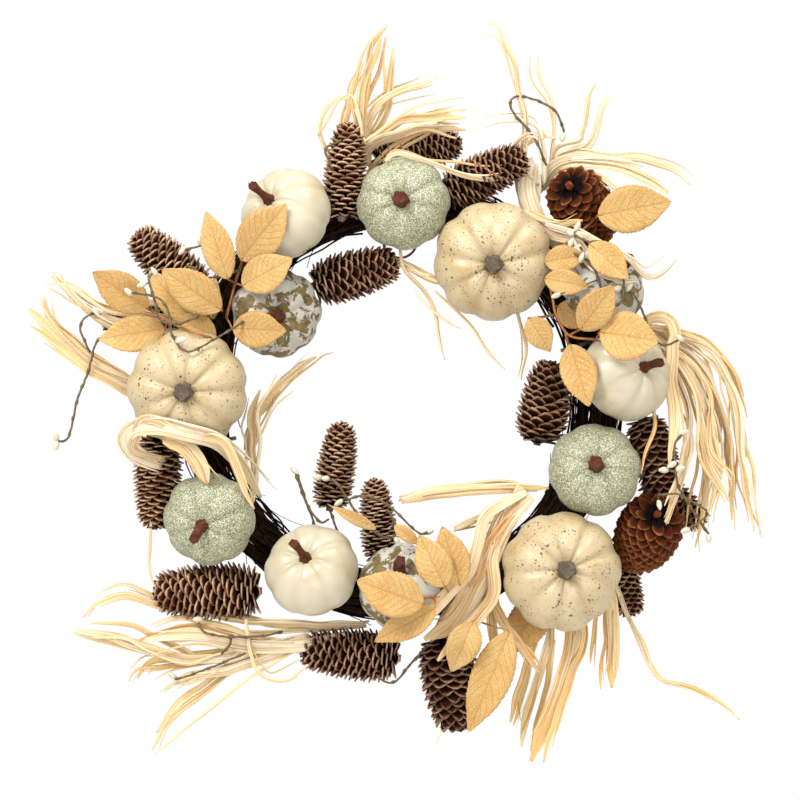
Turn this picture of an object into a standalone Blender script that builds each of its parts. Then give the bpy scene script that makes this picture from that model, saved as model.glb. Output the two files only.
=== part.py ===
"""Harvest door wreath: a twig ring dressed with craft pumpkins, cones, leaves and raffia.

World frame: the wreath hangs in the XZ plane, its front faces -Y, and the origin is the
centre of the wire eye behind the ring's top, where the hanging loop is hinged.
Layout frame: X to the right, Y up the wreath, Z out of its front, with the origin in the
middle of the twig ring. One empty carries everything from the layout frame to the world.
"""
import math

import bmesh
import bpy
import numpy as np
from mathutils import Vector

MM = 0.001

# ---- twig ring -------------------------------------------------------------------------
RING_RADIUS = 0.150            # centre line of the twig bundle
HOOP_WIRE_RADIUS = 0.002       # steel hoop inside the bundle
STRAND_RADIUS = 0.0088         # one of the three rope-laid twig strands
STRAND_COUNT = 3
STRAND_TURNS = 3               # full twists of the strands in one trip round the ring
STRAND_POINTS = 60
GAP = 0.0003                   # clearance between solids that touch on the real wreath
LAY_ALLOWANCE = 0.0006         # extra room between strands, because they cross at a slant

# ---- wire work -------------------------------------------------------------------------
BINDING_WIRE_RADIUS = 0.0007
BINDING_ANGLES = {"binding_wire_left": 193.0, "binding_wire_right": 17.0}
HANGER_WIRE_RADIUS = 0.0010
HINGE_PLAY = 0.0012            # free room round the loop's bar inside the eye
EYE_RADIUS = 2 * HANGER_WIRE_RADIUS + HINGE_PLAY    # centre line of the small eye on the hanger's band
LOOP_WIDTH = 0.026
LOOP_LENGTH = 0.040

# ---- craft pumpkins: radius, half height, ribs, stem radius, stem length -----------------
PUMPKIN_KINDS = {
    "speckled": (0.0450, 0.0350, 9, 0.0070, 0.012),
    "sage": (0.0350, 0.0280, 8, 0.0055, 0.012),
    "ivory": (0.0355, 0.0290, 8, 0.0065, 0.020),
    "mottled": (0.0340, 0.0275, 9, 0.0055, 0.013),
}
# name: kind, clock angle (deg), outward from the ring line (mm), stem tilt (deg), tilt towards (deg)
PUMPKINS = {
    "pumpkin_speckled_upper_right": ("speckled", 58.5, -24.7, 8, 260),
    "pumpkin_speckled_left": ("speckled", 177.4, 8.9, 5, 250),
    "pumpkin_speckled_lower_right": ("speckled", 313.3, 24.5, 7, 45),
    "pumpkin_sage_top": ("sage", 90.3, -4.4, 4, 150),
    "pumpkin_sage_left": ("sage", 211.8, 18.3, 16, 225),
    "pumpkin_sage_right": ("sage", 340.3, 4.3, 10, 90),
    "pumpkin_ivory_upper_left": ("ivory", 119.2, 9.6, 42, 142),
    "pumpkin_ivory_right": ("ivory", 6.3, 19.6, 36, 26),
    "pumpkin_ivory_lower_left": ("ivory", 243.0, -6.6, 30, 112),
    "pumpkin_mottled_upper_left": ("mottled", 144.0, -35.1, 12, 310),
    "pumpkin_mottled_right": ("mottled", 29.5, 22.5, 52, 45),
    "pumpkin_mottled_bottom": ("mottled", 270.4, -10.1, 34, 103),
}
RIB_DEPTH = 0.07               # groove depth between ribs, as a share of the radius
DIMPLE_DEPTH = 0.16            # how far the crown sinks at the stem, as a share of the half height
DIMPLE_WIDTH = 0.34            # width of that dimple, as a share of the radius
PUMPKIN_RINGS = 8
SEGMENTS_PER_RIB = 3

# ---- cones: clock angle, outward (mm), front (mm), heading (deg), pitch (deg), length, radius (mm)
# heading is the way from butt to tip in the wreath's plane; pitch lifts the tip to the front
CONES = {
    "cone_top_left": (103.2, 22.0, 33, 85, 0, 72, 15),
    "cone_top": (85.9, 37.5, 14, 14, 0, 68, 15),
    "cone_top_right": (69.1, 28.6, 28, 25, 4, 66, 16),
    "cone_inner_top": (110.7, -49.5, 30, 196, 0, 66, 17),
    "cone_upper_right": (46.0, 50.7, 30, 310, -50, 64, 21),
    "cone_upper_left": (149.5, 52.0, 22, 138, 8, 66, 17),
    "cone_left": (163.0, 56.0, 6, 177, 0, 60, 14),
    "cone_inner_right": (359.0, -40.0, 30, 78, 0, 62, 18),
    "cone_right": (346.3, 49.0, 28, 286, 0, 70, 16),
    "cone_far_right": (339.8, 74.0, 4, 322, 0, 56, 13),
    "cone_lower_right": (330.6, 61.0, 30, 250, -55, 64, 22),
    "cone_small_right": (321.0, 74.0, 2, 285, 0, 46, 12),
    "cone_lower_left": (198.6, 42.0, 30, 268, 0, 70, 17),
    "cone_bottom_left": (224.8, 56.0, 24, 181, 0, 80, 20),
    "cone_bottom": (258.8, 46.0, 22, 175, 0, 74, 18),
    "cone_bottom_right": (280.2, 68.0, 20, 99, 8, 72, 20),
    "cone_inner_left": (226.0, -80.7, 18, 81, 0, 66, 14),
    "cone_inner_bottom": (259.4, -57.4, 14, 95, 0, 62, 13),
}
# share of the radius at each share of the length, butt to tip
CONE_OUTLINE = ((0.0, 0.45), (0.10, 0.80), (0.28, 1.0), (0.46, 0.95), (0.64, 0.78), (0.82, 0.54),
                (1.0, 0.22))
CONE_TIERS = 5
CONE_STEPS = 10
CONE_NOTCH = 0.84              # radius under each tier's lip, as a share of the lip

# ---- how the pieces settle against each other ---------------------------------------------
SETTLE_STEPS = 320
SETTLE_PULL = 0.06             # share of the way back to the layout place in each step
PIECE_GAP = 0.0005

# ---- leaves: thin plates on moulded stems ---------------------------------------------------
LEAF_THICKNESS = 0.0008
LEAF_STEM_RADIUS = 0.0010
LEAF_STEM_STEP = 0.005
STALK_RAISE = 0.0004           # a stalk leaves the stem a little in front of its middle
STALK_OVERLAP = 0.0025         # how far inside the stem's end a stalk starts, so that the two always join
LEAF_ROOT_INSET = 0.12         # share of the leaf's length that its stalk runs under it
# half width as a share of the leaf's width, at each share of its length
LEAF_OUTLINE = ((0.0, 0.06), (0.16, 0.34), (0.38, 0.50), (0.62, 0.42), (0.84, 0.20))
# spray: stem points, then leaves as base, tip and width (mm); a point is a clock angle (deg) and how
# far it lies outward of the ring line (mm)
LEAF_SPRAYS = {
    "leaf_spray_upper_left": (
        ((139, 12), (144.5, 6), (154.5, -2)),
        (((144.5, 13), (136.5, 57), 24), ((139.5, 10), (122, 24), 30), ((144, 3), (127, -14), 27)),
    ),
    "leaf_spray_left": (
        ((157.5, 2), (159.5, 26), (160.5, 54)),
        (((160.5, 52), (157, 102), 30), ((159.5, 26), (152.5, 64), 28), ((161.5, 40), (168.5, 86), 26)),
    ),
    "leaf_spray_right": (
        ((32.5, -8), (22.5, -14), (17.5, 9)),
        (((17.5, 7), (13, 48), 32), ((29.5, -8), (29, 22), 24), ((20.5, -9), (358.5, -10), 27)),
    ),
    "leaf_spray_bottom": (
        ((274.5, 2), (285, 5), (292.5, 2)),
        (((275.5, 3), (258, -7), 30), ((290, 1), (289, -46), 28), ((291.5, 5), (282, 60), 30)),
    ),
}

# ---- raffia: tied bunches of dried strips ----------------------------------------------------
RAFFIA_THICKNESS = 0.0009
KNOT_RADIUS = 0.006
# bunch: knot, then strips as width (mm) and way points from the knot outwards, given as on the leaves
RAFFIA_BUNCHES = {
    "raffia_top": (
        (98, 42),
        (
            (4, (98.5, 72), (95, 103), (93, 123)),
            (4, (90, 64), (84.5, 91), (83, 100)),
            (3, (102, 77), (105.5, 73), (107.5, 39)),
            (4, (92.5, 66), (82, 68), (76.5, 70)),
        ),
    ),
    "raffia_upper_right": (
        (59.5, 64),
        (
            (6, (65, 88), (71, 121), (76, 142)),
            (4, (63, 104), (68.5, 136)),
            (4, (57, 96), (55.5, 132)),
            (8, (53.5, 86), (45.5, 106), (38, 108)),
        ),
    ),
    "raffia_right": (
        (17.5, 68),
        (
            (10, (11, 82), (0, 81), (352, 66), (347, 62)),
            (7, (11.5, 93), (358, 108), (339.5, 137)),
            (5, (7, 84), (355.5, 95), (343.5, 100)),
            (4, (2.5, 76), (347.5, 80), (336.5, 81)),
        ),
    ),
    "raffia_left": (
        (185, 66),
        (
            (9, (177, 77), (170.5, 104), (166.5, 137)),
            (5, (174.5, 87), (166.5, 119), (163.5, 134)),
            (9, (187.5, 52), (188, 20), (193, -5), (204, -18), (214, -19)),
        ),
    ),
    "raffia_bottom_left": (
        (241.5, 59),
        (
            (9, (232.5, 80), (223.5, 120)),
            (4, (235, 111), (234, 165)),
            (4, (227.5, 116), (216, 150)),
            (5, (233, 63), (221, 84), (214.5, 142)),
        ),
    ),
    "raffia_bottom_right": (
        (293, 59),
        (
            (12, (295.5, 90), (290.5, 139)),
            (5, (291, 94), (289.5, 128)),
            (8, (302, 85), (308, 104), (306.5, 121)),
            (5, (304, 101), (313, 143), (316, 170), (317, 201)),
            (10, (289, 36), (279.5, 36)),
        ),
    ),
}
STRIP_STEP = 0.006             # spacing of the points that a strip is laid on
STRIP_STACK = 0.0012           # strips leave their knot above each other
STRIP_TIP = 0.35               # share of the width left at a strip's end

# colour, roughness, metallic
FINISHES = {
    "twig": ((0.055, 0.035, 0.025), 0.85, 0.0),
    "wire": ((0.20, 0.19, 0.18), 0.45, 1.0),
    "speckled": ((0.72, 0.58, 0.36), 0.45, 0.0),
    "sage": ((0.42, 0.50, 0.35), 0.55, 0.0),
    "ivory": ((0.82, 0.77, 0.60), 0.40, 0.0),
    "mottled": ((0.60, 0.56, 0.45), 0.65, 0.0),
    "pumpkin_stem": ((0.16, 0.09, 0.07), 0.70, 0.0),
    "cone": ((0.14, 0.07, 0.045), 0.75, 0.0),
    "leaf": ((0.72, 0.46, 0.18), 0.60, 0.0),
    "raffia": ((0.76, 0.57, 0.30), 0.65, 0.0),
}

# strands lie round the hoop and beside each other, so their offset follows their radius
STRAND_OFFSET = max(HOOP_WIRE_RADIUS + GAP + STRAND_RADIUS,
                    (STRAND_RADIUS + 0.5 * GAP + LAY_ALLOWANCE) / math.sin(math.pi / STRAND_COUNT))
BUNDLE_RADIUS = STRAND_OFFSET + STRAND_RADIUS
BINDING_RADIUS = BUNDLE_RADIUS + GAP + BINDING_WIRE_RADIUS
BAND_RADIUS = BUNDLE_RADIUS + GAP + HANGER_WIRE_RADIUS
SEAT_RADIUS = BAND_RADIUS + HANGER_WIRE_RADIUS + GAP
EYE_BACK = BAND_RADIUS + EYE_RADIUS + HANGER_WIRE_RADIUS


def clear_scene():
    for item in list(bpy.data.objects):
        bpy.data.objects.remove(item, do_unlink=True)


clear_scene()
wreath_parts = bpy.data.collections.new("harvest_door_wreath")
helper_parts = bpy.data.collections.new("helpers")
bpy.context.scene.collection.children.link(wreath_parts)
bpy.context.scene.collection.children.link(helper_parts)

layout = bpy.data.objects.new("wreath_layout", None)
layout.location = (0.0, -EYE_BACK, -RING_RADIUS)
layout.rotation_euler = (math.radians(90), 0.0, 0.0)
wreath_parts.objects.link(layout)

hinge = bpy.data.objects.new("hanger_hinge", None)
hinge.parent = layout
hinge.location = (0.0, RING_RADIUS, -EYE_BACK)
wreath_parts.objects.link(hinge)

materials = {}
for finish, (colour, roughness, metallic) in FINISHES.items():
    material = bpy.data.materials.new(finish)
    material.use_nodes = True
    shader = material.node_tree.nodes["Principled BSDF"]
    shader.inputs["Base Color"].default_value = (*colour, 1.0)
    shader.inputs["Roughness"].default_value = roughness
    shader.inputs["Metallic"].default_value = metallic
    materials[finish] = material


def finish_object(item, finish, parent=layout, smooth_angle=35):
    """Give an object its place in the wreath, its material and smooth round faces."""
    item.parent = parent
    item.data.materials.clear()
    item.data.materials.append(bpy.data.materials[finish])
    if item.type == "MESH" and smooth_angle:
        item.data.shade_smooth()
        item.data.set_sharp_from_angle(angle=math.radians(smooth_angle))
    return item


def mesh_object(name, mesh_bm, collection=wreath_parts):
    mesh = bpy.data.meshes.new(name)
    mesh_bm.to_mesh(mesh)
    mesh_bm.free()
    item = bpy.data.objects.new(name, mesh)
    collection.objects.link(item)
    return item


def direction(heading, pitch):
    """Unit vector with this heading in the wreath's plane, lifted to the front by pitch."""
    flat = math.cos(math.radians(pitch))
    heading = math.radians(heading)
    return Vector((flat * math.cos(heading), flat * math.sin(heading), math.sin(math.radians(pitch))))


def on_clock(angle, outward, front=0.0):
    """Layout place at a clock angle, so far outward of the ring's centre line."""
    reach = RING_RADIUS + outward
    angle = math.radians(angle)
    return Vector((reach * math.cos(angle), reach * math.sin(angle), front))


def flat_on_clock(point):
    """Place in the wreath's plane of a layout point: clock angle (deg), outward (mm)."""
    angle, outward = point
    return on_clock(angle, outward * MM).to_2d()


def tube(name, points, radius, bevel_steps=3, cyclic=False, collection=wreath_parts):
    """A wire or stem: a POLY curve with a round bevel. bevel_steps sets how round it is."""
    curve = bpy.data.curves.new(name, "CURVE")
    curve.dimensions = "3D"
    curve.twist_mode = "MINIMUM"
    spline = curve.splines.new("POLY")
    spline.points.add(len(points) - 1)
    for spot, point in zip(spline.points, points):
        spot.co = (*point, 1.0)
    spline.use_cyclic_u = cyclic
    curve.bevel_depth = radius
    curve.bevel_resolution = bevel_steps
    curve.use_fill_caps = not cyclic
    item = bpy.data.objects.new(name, curve)
    collection.objects.link(item)
    return item


def as_mesh(item):
    """Turn a curve object into a mesh object with welded caps, in the same place."""
    bpy.context.view_layer.update()
    graph = bpy.context.evaluated_depsgraph_get()
    mesh = bpy.data.meshes.new_from_object(item.evaluated_get(graph))
    mesh_bm = bmesh.new()
    mesh_bm.from_mesh(mesh)
    bmesh.ops.remove_doubles(mesh_bm, verts=mesh_bm.verts, dist=1e-6)
    bmesh.ops.recalc_face_normals(mesh_bm, faces=mesh_bm.faces)
    mesh_bm.to_mesh(mesh)
    mesh_bm.free()
    name = item.name
    solid = bpy.data.objects.new(name + "_solid", mesh)
    solid.matrix_world = item.matrix_world.copy()
    for collection in item.users_collection:
        collection.objects.link(solid)
    bpy.data.objects.remove(item, do_unlink=True)
    solid.name = name
    return solid


def unite(name, base, others):
    """One closed body from a base and the pieces that grow out of it."""
    base.name = name
    for other in others:
        other.hide_render = True
        other.display_type = "WIRE"
        other.parent = layout
        join = base.modifiers.new("join_" + other.name, "BOOLEAN")
        join.operation = "UNION"
        join.solver = "EXACT"
        join.object = other
    return base


# ---- shapes as groups of balls, used to settle pieces and to lay strips over them ------------
class Piece:
    """A decoration: its layout place, its axis, and balls that enclose it (centre, radius)."""

    def __init__(self, place, axis, balls):
        self.target = np.array(place)
        self.place = np.array(place)
        self.axis = Vector(axis)
        turn = self.axis.to_track_quat("Z", "Y").to_matrix()
        self.centres = np.array([turn @ Vector(centre) for centre, radius in balls])
        self.radii = np.array([radius for centre, radius in balls])
        self.reach = float(np.max(np.linalg.norm(self.centres, axis=1) + self.radii))

    def balls(self):
        return self.centres + self.place, self.radii


def pumpkin_balls(radius, half_height, stem_radius, stem_length):
    rim = radius - half_height
    balls = [((0.0, 0.0, 0.0), half_height)]
    for step in range(8):
        angle = step * math.tau / 8
        balls.append(((rim * math.cos(angle), rim * math.sin(angle), 0.0), half_height))
    for share in (0.3, 0.9):
        balls.append(((0.0, 0.0, half_height * (1 - DIMPLE_DEPTH) + share * stem_length), stem_radius))
    return balls


def cone_width(share):
    """Share of the cone's full radius at a share of its length."""
    lengths = [point[0] for point in CONE_OUTLINE]
    widths = [point[1] for point in CONE_OUTLINE]
    return float(np.interp(share, lengths, widths))


def cone_balls(length, radius):
    balls = []
    for share in (0.14, 0.28, 0.42, 0.56, 0.70, 0.82, 0.92):
        balls.append(((0.0, 0.0, (share - 0.5) * length), radius * cone_width(share)))
    return balls


def push_off_ring(piece):
    """Move a piece out of the twig bundle; returns how deep it was."""
    centres, radii = piece.balls()
    reach = np.hypot(centres[:, 0], centres[:, 1])
    across = reach - RING_RADIUS
    distance = np.hypot(across, centres[:, 2])
    depth = SEAT_RADIUS + radii - distance
    worst = int(np.argmax(depth))
    if depth[worst] <= 0.0:
        return 0.0
    outward = np.array((centres[worst, 0], centres[worst, 1], 0.0)) / reach[worst]
    push = (outward * across[worst] + np.array((0.0, 0.0, centres[worst, 2]))) / distance[worst]
    piece.place += push * depth[worst]
    return float(depth[worst])


def push_apart(first, second):
    """Move two pieces apart; returns how deep they were in each other."""
    if np.linalg.norm(first.place - second.place) > first.reach + second.reach + PIECE_GAP:
        return 0.0
    first_centres, first_radii = first.balls()
    second_centres, second_radii = second.balls()
    between = second_centres[None, :, :] - first_centres[:, None, :]
    distance = np.linalg.norm(between, axis=2)
    depth = first_radii[:, None] + second_radii[None, :] + PIECE_GAP - distance
    row, column = np.unravel_index(int(np.argmax(depth)), depth.shape)
    if depth[row, column] <= 0.0:
        return 0.0
    push = between[row, column] / distance[row, column] * (0.5 * depth[row, column])
    first.place -= push
    second.place += push
    return float(depth[row, column])


def settle(pieces):
    """Let the pieces find places near the layout, clear of the ring and of each other."""
    names = list(pieces)
    for step in range(SETTLE_STEPS):
        fading = SETTLE_PULL * max(0.0, 1.0 - 1.25 * step / SETTLE_STEPS)
        for name in names:
            piece = pieces[name]
            piece.place += (piece.target - piece.place) * fading
            push_off_ring(piece)
        for position, name in enumerate(names):
            for other in names[position + 1:]:
                push_apart(pieces[name], pieces[other])


class Surface:
    """What is already on the wreath, as balls, for laying thin pieces over it."""

    def __init__(self):
        self.centres = np.zeros((0, 3))
        self.radii = np.zeros(0)

    def add(self, centres, radii):
        self.centres = np.vstack((self.centres, centres))
        self.radii = np.concatenate((self.radii, radii))

    def front(self, x, y, clearance):
        """Lowest height at which a ball of radius clearance passes over everything at (x, y)."""
        aside = np.hypot(self.centres[:, 0] - x, self.centres[:, 1] - y)
        room = (self.radii + clearance) ** 2 - aside ** 2
        under = room > 0.0
        if not under.any():
            return None
        return float(np.max(self.centres[under, 2] + np.sqrt(room[under])))


def ring_balls():
    """The twig bundle and its wires as balls along its centre line."""
    count = 180
    angles = np.arange(count) * math.tau / count
    centres = np.stack((RING_RADIUS * np.cos(angles), RING_RADIUS * np.sin(angles), 0.0 * angles), axis=1)
    return centres, np.full(count, SEAT_RADIUS)


# ---- twig ring --------------------------------------------------------------------------------
def ring_point(angle, offset, turn):
    """Point at an offset from the ring's centre line, turned round that line."""
    reach = RING_RADIUS + offset * math.cos(turn)
    return Vector((reach * math.cos(angle), reach * math.sin(angle), offset * math.sin(turn)))


def make_ring():
    steps = [step * math.tau / STRAND_POINTS for step in range(STRAND_POINTS)]
    hoop = tube("hoop_wire", [ring_point(angle, 0.0, 0.0) for angle in steps], HOOP_WIRE_RADIUS,
                bevel_steps=0, cyclic=True)
    finish_object(hoop, "wire")
    for strand in range(STRAND_COUNT):
        start = strand * math.tau / STRAND_COUNT
        points = [ring_point(angle, STRAND_OFFSET, start + STRAND_TURNS * angle) for angle in steps]
        item = tube(f"twig_strand_{strand + 1}", points, STRAND_RADIUS, bevel_steps=1, cyclic=True)
        finish_object(item, "twig")


def band_points(angle, radius, count):
    """Points of a wire wound once round the bundle at a clock angle."""
    angle = math.radians(angle)
    return [ring_point(angle, radius, step * math.tau / count) for step in range(count)]


def make_bindings():
    for name, angle in BINDING_ANGLES.items():
        wire = tube(name, band_points(angle, BINDING_RADIUS, 24), BINDING_WIRE_RADIUS, bevel_steps=0, cyclic=True)
        finish_object(wire, "wire")


def make_hanger():
    """A band round the bundle with an eye behind it, and the loop whose bar lies in the eye."""
    band = as_mesh(tube("hanger_anchor", band_points(90.0, BAND_RADIUS, 28), HANGER_WIRE_RADIUS,
                        bevel_steps=0, cyclic=True))
    eye_points = []
    for step in range(16):
        angle = step * math.tau / 16
        eye_points.append(Vector((0.0, RING_RADIUS + EYE_RADIUS * math.cos(angle),
                                  -EYE_BACK + EYE_RADIUS * math.sin(angle))))
    eye = as_mesh(tube("anchor_eye", eye_points, HANGER_WIRE_RADIUS, bevel_steps=0, cyclic=True,
                       collection=helper_parts))
    finish_object(unite("hanger_anchor", band, [eye]), "wire")

    half = 0.5 * LOOP_WIDTH
    bend = 0.30 * LOOP_WIDTH
    centre_y = -(LOOP_LENGTH - half)
    points = [Vector((-half + bend, 0.0, 0.0)), Vector((half - bend, 0.0, 0.0)), Vector((half, -bend, 0.0))]
    for step in range(13):
        angle = -step * math.pi / 12
        points.append(Vector((half * math.cos(angle), centre_y + half * math.sin(angle), 0.0)))
    points.append(Vector((-half, -bend, 0.0)))
    loop = tube("hanger_loop", points, HANGER_WIRE_RADIUS, bevel_steps=1, cyclic=True)
    finish_object(loop, "wire", parent=hinge)


# ---- pumpkins ------------------------------------------------------------------------------------
def crown_height(across, radius, half_height):
    """Height of a pumpkin's skin at a distance from its axis."""
    share = min(across / radius, 1.0)
    dome = half_height * math.sqrt(max(0.0, 1.0 - share ** 2.6))
    return dome - half_height * DIMPLE_DEPTH * math.exp(-(share / DIMPLE_WIDTH) ** 2)


def make_pumpkin(name, kind, piece):
    radius, half_height, ribs, stem_radius, stem_length = PUMPKIN_KINDS[kind]
    body_bm = bmesh.new()
    bmesh.ops.create_uvsphere(body_bm, u_segments=ribs * SEGMENTS_PER_RIB, v_segments=PUMPKIN_RINGS,
                              radius=1.0)
    for vert in body_bm.verts:
        across = math.hypot(vert.co.x, vert.co.y)
        angle = math.atan2(vert.co.y, vert.co.x)
        side = 1.0 if vert.co.z >= 0.0 else -1.0
        groove = 1.0 - RIB_DEPTH * across * abs(math.cos(0.5 * ribs * angle)) ** 6
        height = crown_height(across * radius, radius, half_height)
        vert.co.x *= radius * groove
        vert.co.y *= radius * groove
        vert.co.z = side * height if across < 0.999 else 0.0
    body = mesh_object(name, body_bm)
    finish_object(body, kind, smooth_angle=80)

    stem_bm = bmesh.new()
    bmesh.ops.create_cone(stem_bm, cap_ends=True, segments=10, radius1=stem_radius,
                          radius2=0.62 * stem_radius, depth=stem_length)
    in_turn = sorted(stem_bm.verts, key=lambda item: math.atan2(item.co.y, item.co.x))
    for position, vert in enumerate(in_turn):
        if (position // 2) % 2:
            vert.co.x *= 0.78
            vert.co.y *= 0.78
    stem = mesh_object(name.replace("pumpkin", "stem"), stem_bm)
    finish_object(stem, "pumpkin_stem", smooth_angle=0)

    seat = max(crown_height(share * stem_radius, radius, half_height) for share in (0.0, 0.5, 1.0))
    turn = piece.axis.to_track_quat("Z", "Y")
    for item, along in ((body, 0.0), (stem, seat + GAP + 0.5 * stem_length)):
        item.rotation_mode = "QUATERNION"
        item.rotation_quaternion = turn
        item.location = Vector(piece.place) + piece.axis * along


# ---- cones ----------------------------------------------------------------------------------------
def make_cone(name, length, radius, piece):
    """A turned cone with stepped tiers of scales, from its tip down its outer side to its butt."""
    profile = [(0.0, 0.5 * length)]
    for tier in range(CONE_TIERS):
        top = 1.0 - tier / CONE_TIERS
        lip = 1.0 - (tier + 0.7) / CONE_TIERS
        profile.append((radius * cone_width(top) * CONE_NOTCH, (top - 0.5) * length - 0.02 * length))
        profile.append((radius * cone_width(lip), (lip - 0.5) * length))
    profile.append((0.0, -0.5 * length))
    mesh_bm = bmesh.new()
    verts = [mesh_bm.verts.new((across, 0.0, along)) for across, along in profile]
    for first, second in zip(verts, verts[1:]):
        mesh_bm.edges.new((first, second))
    cone = mesh_object(name, mesh_bm)
    turned = cone.modifiers.new("turned", "SCREW")
    turned.axis = "Z"
    turned.steps = CONE_STEPS
    turned.render_steps = CONE_STEPS
    turned.use_merge_vertices = True
    turned.merge_threshold = 0.00005
    finish_object(cone, "cone", smooth_angle=0)
    cone.rotation_mode = "QUATERNION"
    cone.rotation_quaternion = piece.axis.to_track_quat("Z", "Y")
    cone.location = piece.place


# ---- leaves ----------------------------------------------------------------------------------------
def smooth_path(points, step):
    """Even points along a smooth curve through the given ones."""
    dense = []
    ends = [2 * points[0] - points[1]] + list(points) + [2 * points[-1] - points[-2]]
    for before, start, end, after in zip(ends, ends[1:], ends[2:], ends[3:]):
        for part in range(12):
            t = part / 12
            dense.append(0.5 * ((2 * start) + (end - before) * t
                                + (2 * before - 5 * start + 4 * end - after) * t * t
                                + (3 * start - before - 3 * end + after) * t * t * t))
    dense.append(points[-1])
    walked = [0.0]
    for first, second in zip(dense, dense[1:]):
        walked.append(walked[-1] + (second - first).length)
    count = max(3, round(walked[-1] / step) + 1)
    marks = np.linspace(0.0, walked[-1], count)
    columns = [np.interp(marks, walked, [point[axis] for point in dense]) for axis in range(2)]
    return [Vector((x, y)) for x, y in zip(*columns)]


def laid_over(flat_points, surface, clearance, lowest, start=None):
    """A strip or stem pulled over what is below it: the upper hull of the heights it must clear.

    Of the flat points it keeps the ones where the hull turns and every third of the others.
    """
    walked = [0.0]
    for first, second in zip(flat_points, flat_points[1:]):
        walked.append(walked[-1] + (second - first).length)
    needed = []
    for point in flat_points:
        height = surface.front(point.x, point.y, clearance)
        needed.append(lowest if height is None else max(lowest, height))
    if start is not None:
        needed[0] = start
    hull = []
    for number in range(len(flat_points)):
        while len(hull) > 1:
            before, middle = hull[-2], hull[-1]
            rise = (needed[middle] - needed[before]) * (walked[number] - walked[before])
            if rise <= (needed[number] - needed[before]) * (walked[middle] - walked[before]):
                hull.pop()
            else:
                break
        hull.append(number)
    heights = np.interp(walked, [walked[number] for number in hull], [needed[number] for number in hull])
    last = len(flat_points) - 1
    return [Vector((*flat_points[number], heights[number])) for number in range(last + 1)
            if number in hull or number % 3 == 0 and 0 < number < last - 1]


def leaf_plate(name, base, tip, width, height):
    """A flat leaf from its base to its tip, lying at one height."""
    along = tip - base
    length = along.length
    along.normalize()
    aside = Vector((-along.y, along.x))
    right = [base + along * (share * length) + aside * (half * width) for share, half in LEAF_OUTLINE]
    left = [base + along * (share * length) - aside * (half * width) for share, half in LEAF_OUTLINE]
    outline = right + [tip] + left[::-1]
    curve = bpy.data.curves.new(name, "CURVE")
    curve.dimensions = "2D"
    curve.fill_mode = "BOTH"
    curve.extrude = 0.5 * LEAF_THICKNESS
    spline = curve.splines.new("POLY")
    spline.points.add(len(outline) - 1)
    for spot, point in zip(spline.points, outline):
        spot.co = (point.x, point.y, 0.0, 1.0)
    spline.use_cyclic_u = True
    item = bpy.data.objects.new(name, curve)
    item.location = (0.0, 0.0, height)
    helper_parts.objects.link(item)
    return as_mesh(item)


def make_leaf_spray(name, stem_points, leaves, surface):
    """Moulded stem with leaves on it; stem, stalks and leaves lie over the pieces below."""
    clearance = LEAF_STEM_RADIUS + PIECE_GAP
    stem_flat = smooth_path([flat_on_clock(point) for point in stem_points], LEAF_STEM_STEP)
    stem_path = laid_over(stem_flat, surface, clearance, SEAT_RADIUS)
    stem = as_mesh(tube(name, stem_path, LEAF_STEM_RADIUS, bevel_steps=1))
    roots = [point.copy() for point in stem_path]
    for end, inner in ((0, 1), (-1, -2)):
        roots[end] += (stem_path[inner] - stem_path[end]).normalized() * STALK_OVERLAP
    pieces = []
    added = [(tuple(point), 2 * LEAF_STEM_RADIUS) for point in stem_path]
    for number, (base, tip, width) in enumerate(leaves):
        base = flat_on_clock(base)
        tip = flat_on_clock(tip)
        aside = Vector((base.y - tip.y, tip.x - base.x)).normalized() * (width * MM)
        tests = []
        for share, half in LEAF_OUTLINE + ((1.0, 0.0),):
            for side in (-half, -0.5 * half, 0.0, 0.5 * half, half):
                tests.append(base.lerp(tip, share) + aside * side)
        heights = [surface.front(point.x, point.y, clearance) for point in tests]
        level = max([SEAT_RADIUS] + [height for height in heights if height is not None])
        root = min(roots, key=lambda point: (point.to_2d() - base).length)
        inset = base.lerp(tip, LEAF_ROOT_INSET)
        way = smooth_path([root.to_2d(), root.to_2d().lerp(inset, 0.5), inset], LEAF_STEM_STEP)
        stalk_path = laid_over(way, surface, clearance, SEAT_RADIUS, start=root.z + STALK_RAISE)
        stalk_path[-1].z = level
        pieces.append(as_mesh(tube(f"{name}_stalk_{number}", stalk_path, 0.8 * LEAF_STEM_RADIUS, bevel_steps=1,
                                   collection=helper_parts)))
        pieces.append(leaf_plate(f"{name}_leaf_{number}", base, tip, width * MM, level))
        added += [((point.x, point.y, level), 4 * LEAF_STEM_RADIUS) for point in tests]
        added += [(tuple(point), 2 * LEAF_STEM_RADIUS) for point in stalk_path]
    finish_object(unite(name, stem, pieces), "leaf", smooth_angle=0)
    surface.add(np.array([spot[0] for spot in added]), np.array([spot[1] for spot in added]))


# ---- raffia -----------------------------------------------------------------------------------------
def strip_solid(name, points, width, collection):
    """A flat dried strip along a path, wide across the path and thin to the front."""
    curve = bpy.data.curves.new(name, "CURVE")
    curve.dimensions = "3D"
    curve.twist_mode = "Z_UP"
    curve.extrude = 0.5 * width - 0.5 * RAFFIA_THICKNESS
    curve.bevel_depth = 0.5 * RAFFIA_THICKNESS
    curve.bevel_resolution = 0
    curve.use_fill_caps = True
    spline = curve.splines.new("POLY")
    spline.points.add(len(points) - 1)
    last = len(points) - 1
    for number, (spot, point) in enumerate(zip(spline.points, points)):
        spot.co = (*point, 1.0)
        spot.tilt = math.radians(90)
        spot.radius = 1.0 - (1.0 - STRIP_TIP) * max(0.0, 2.0 * number / last - 1.0)
    item = bpy.data.objects.new(name, curve)
    collection.objects.link(item)
    return as_mesh(item)


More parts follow.
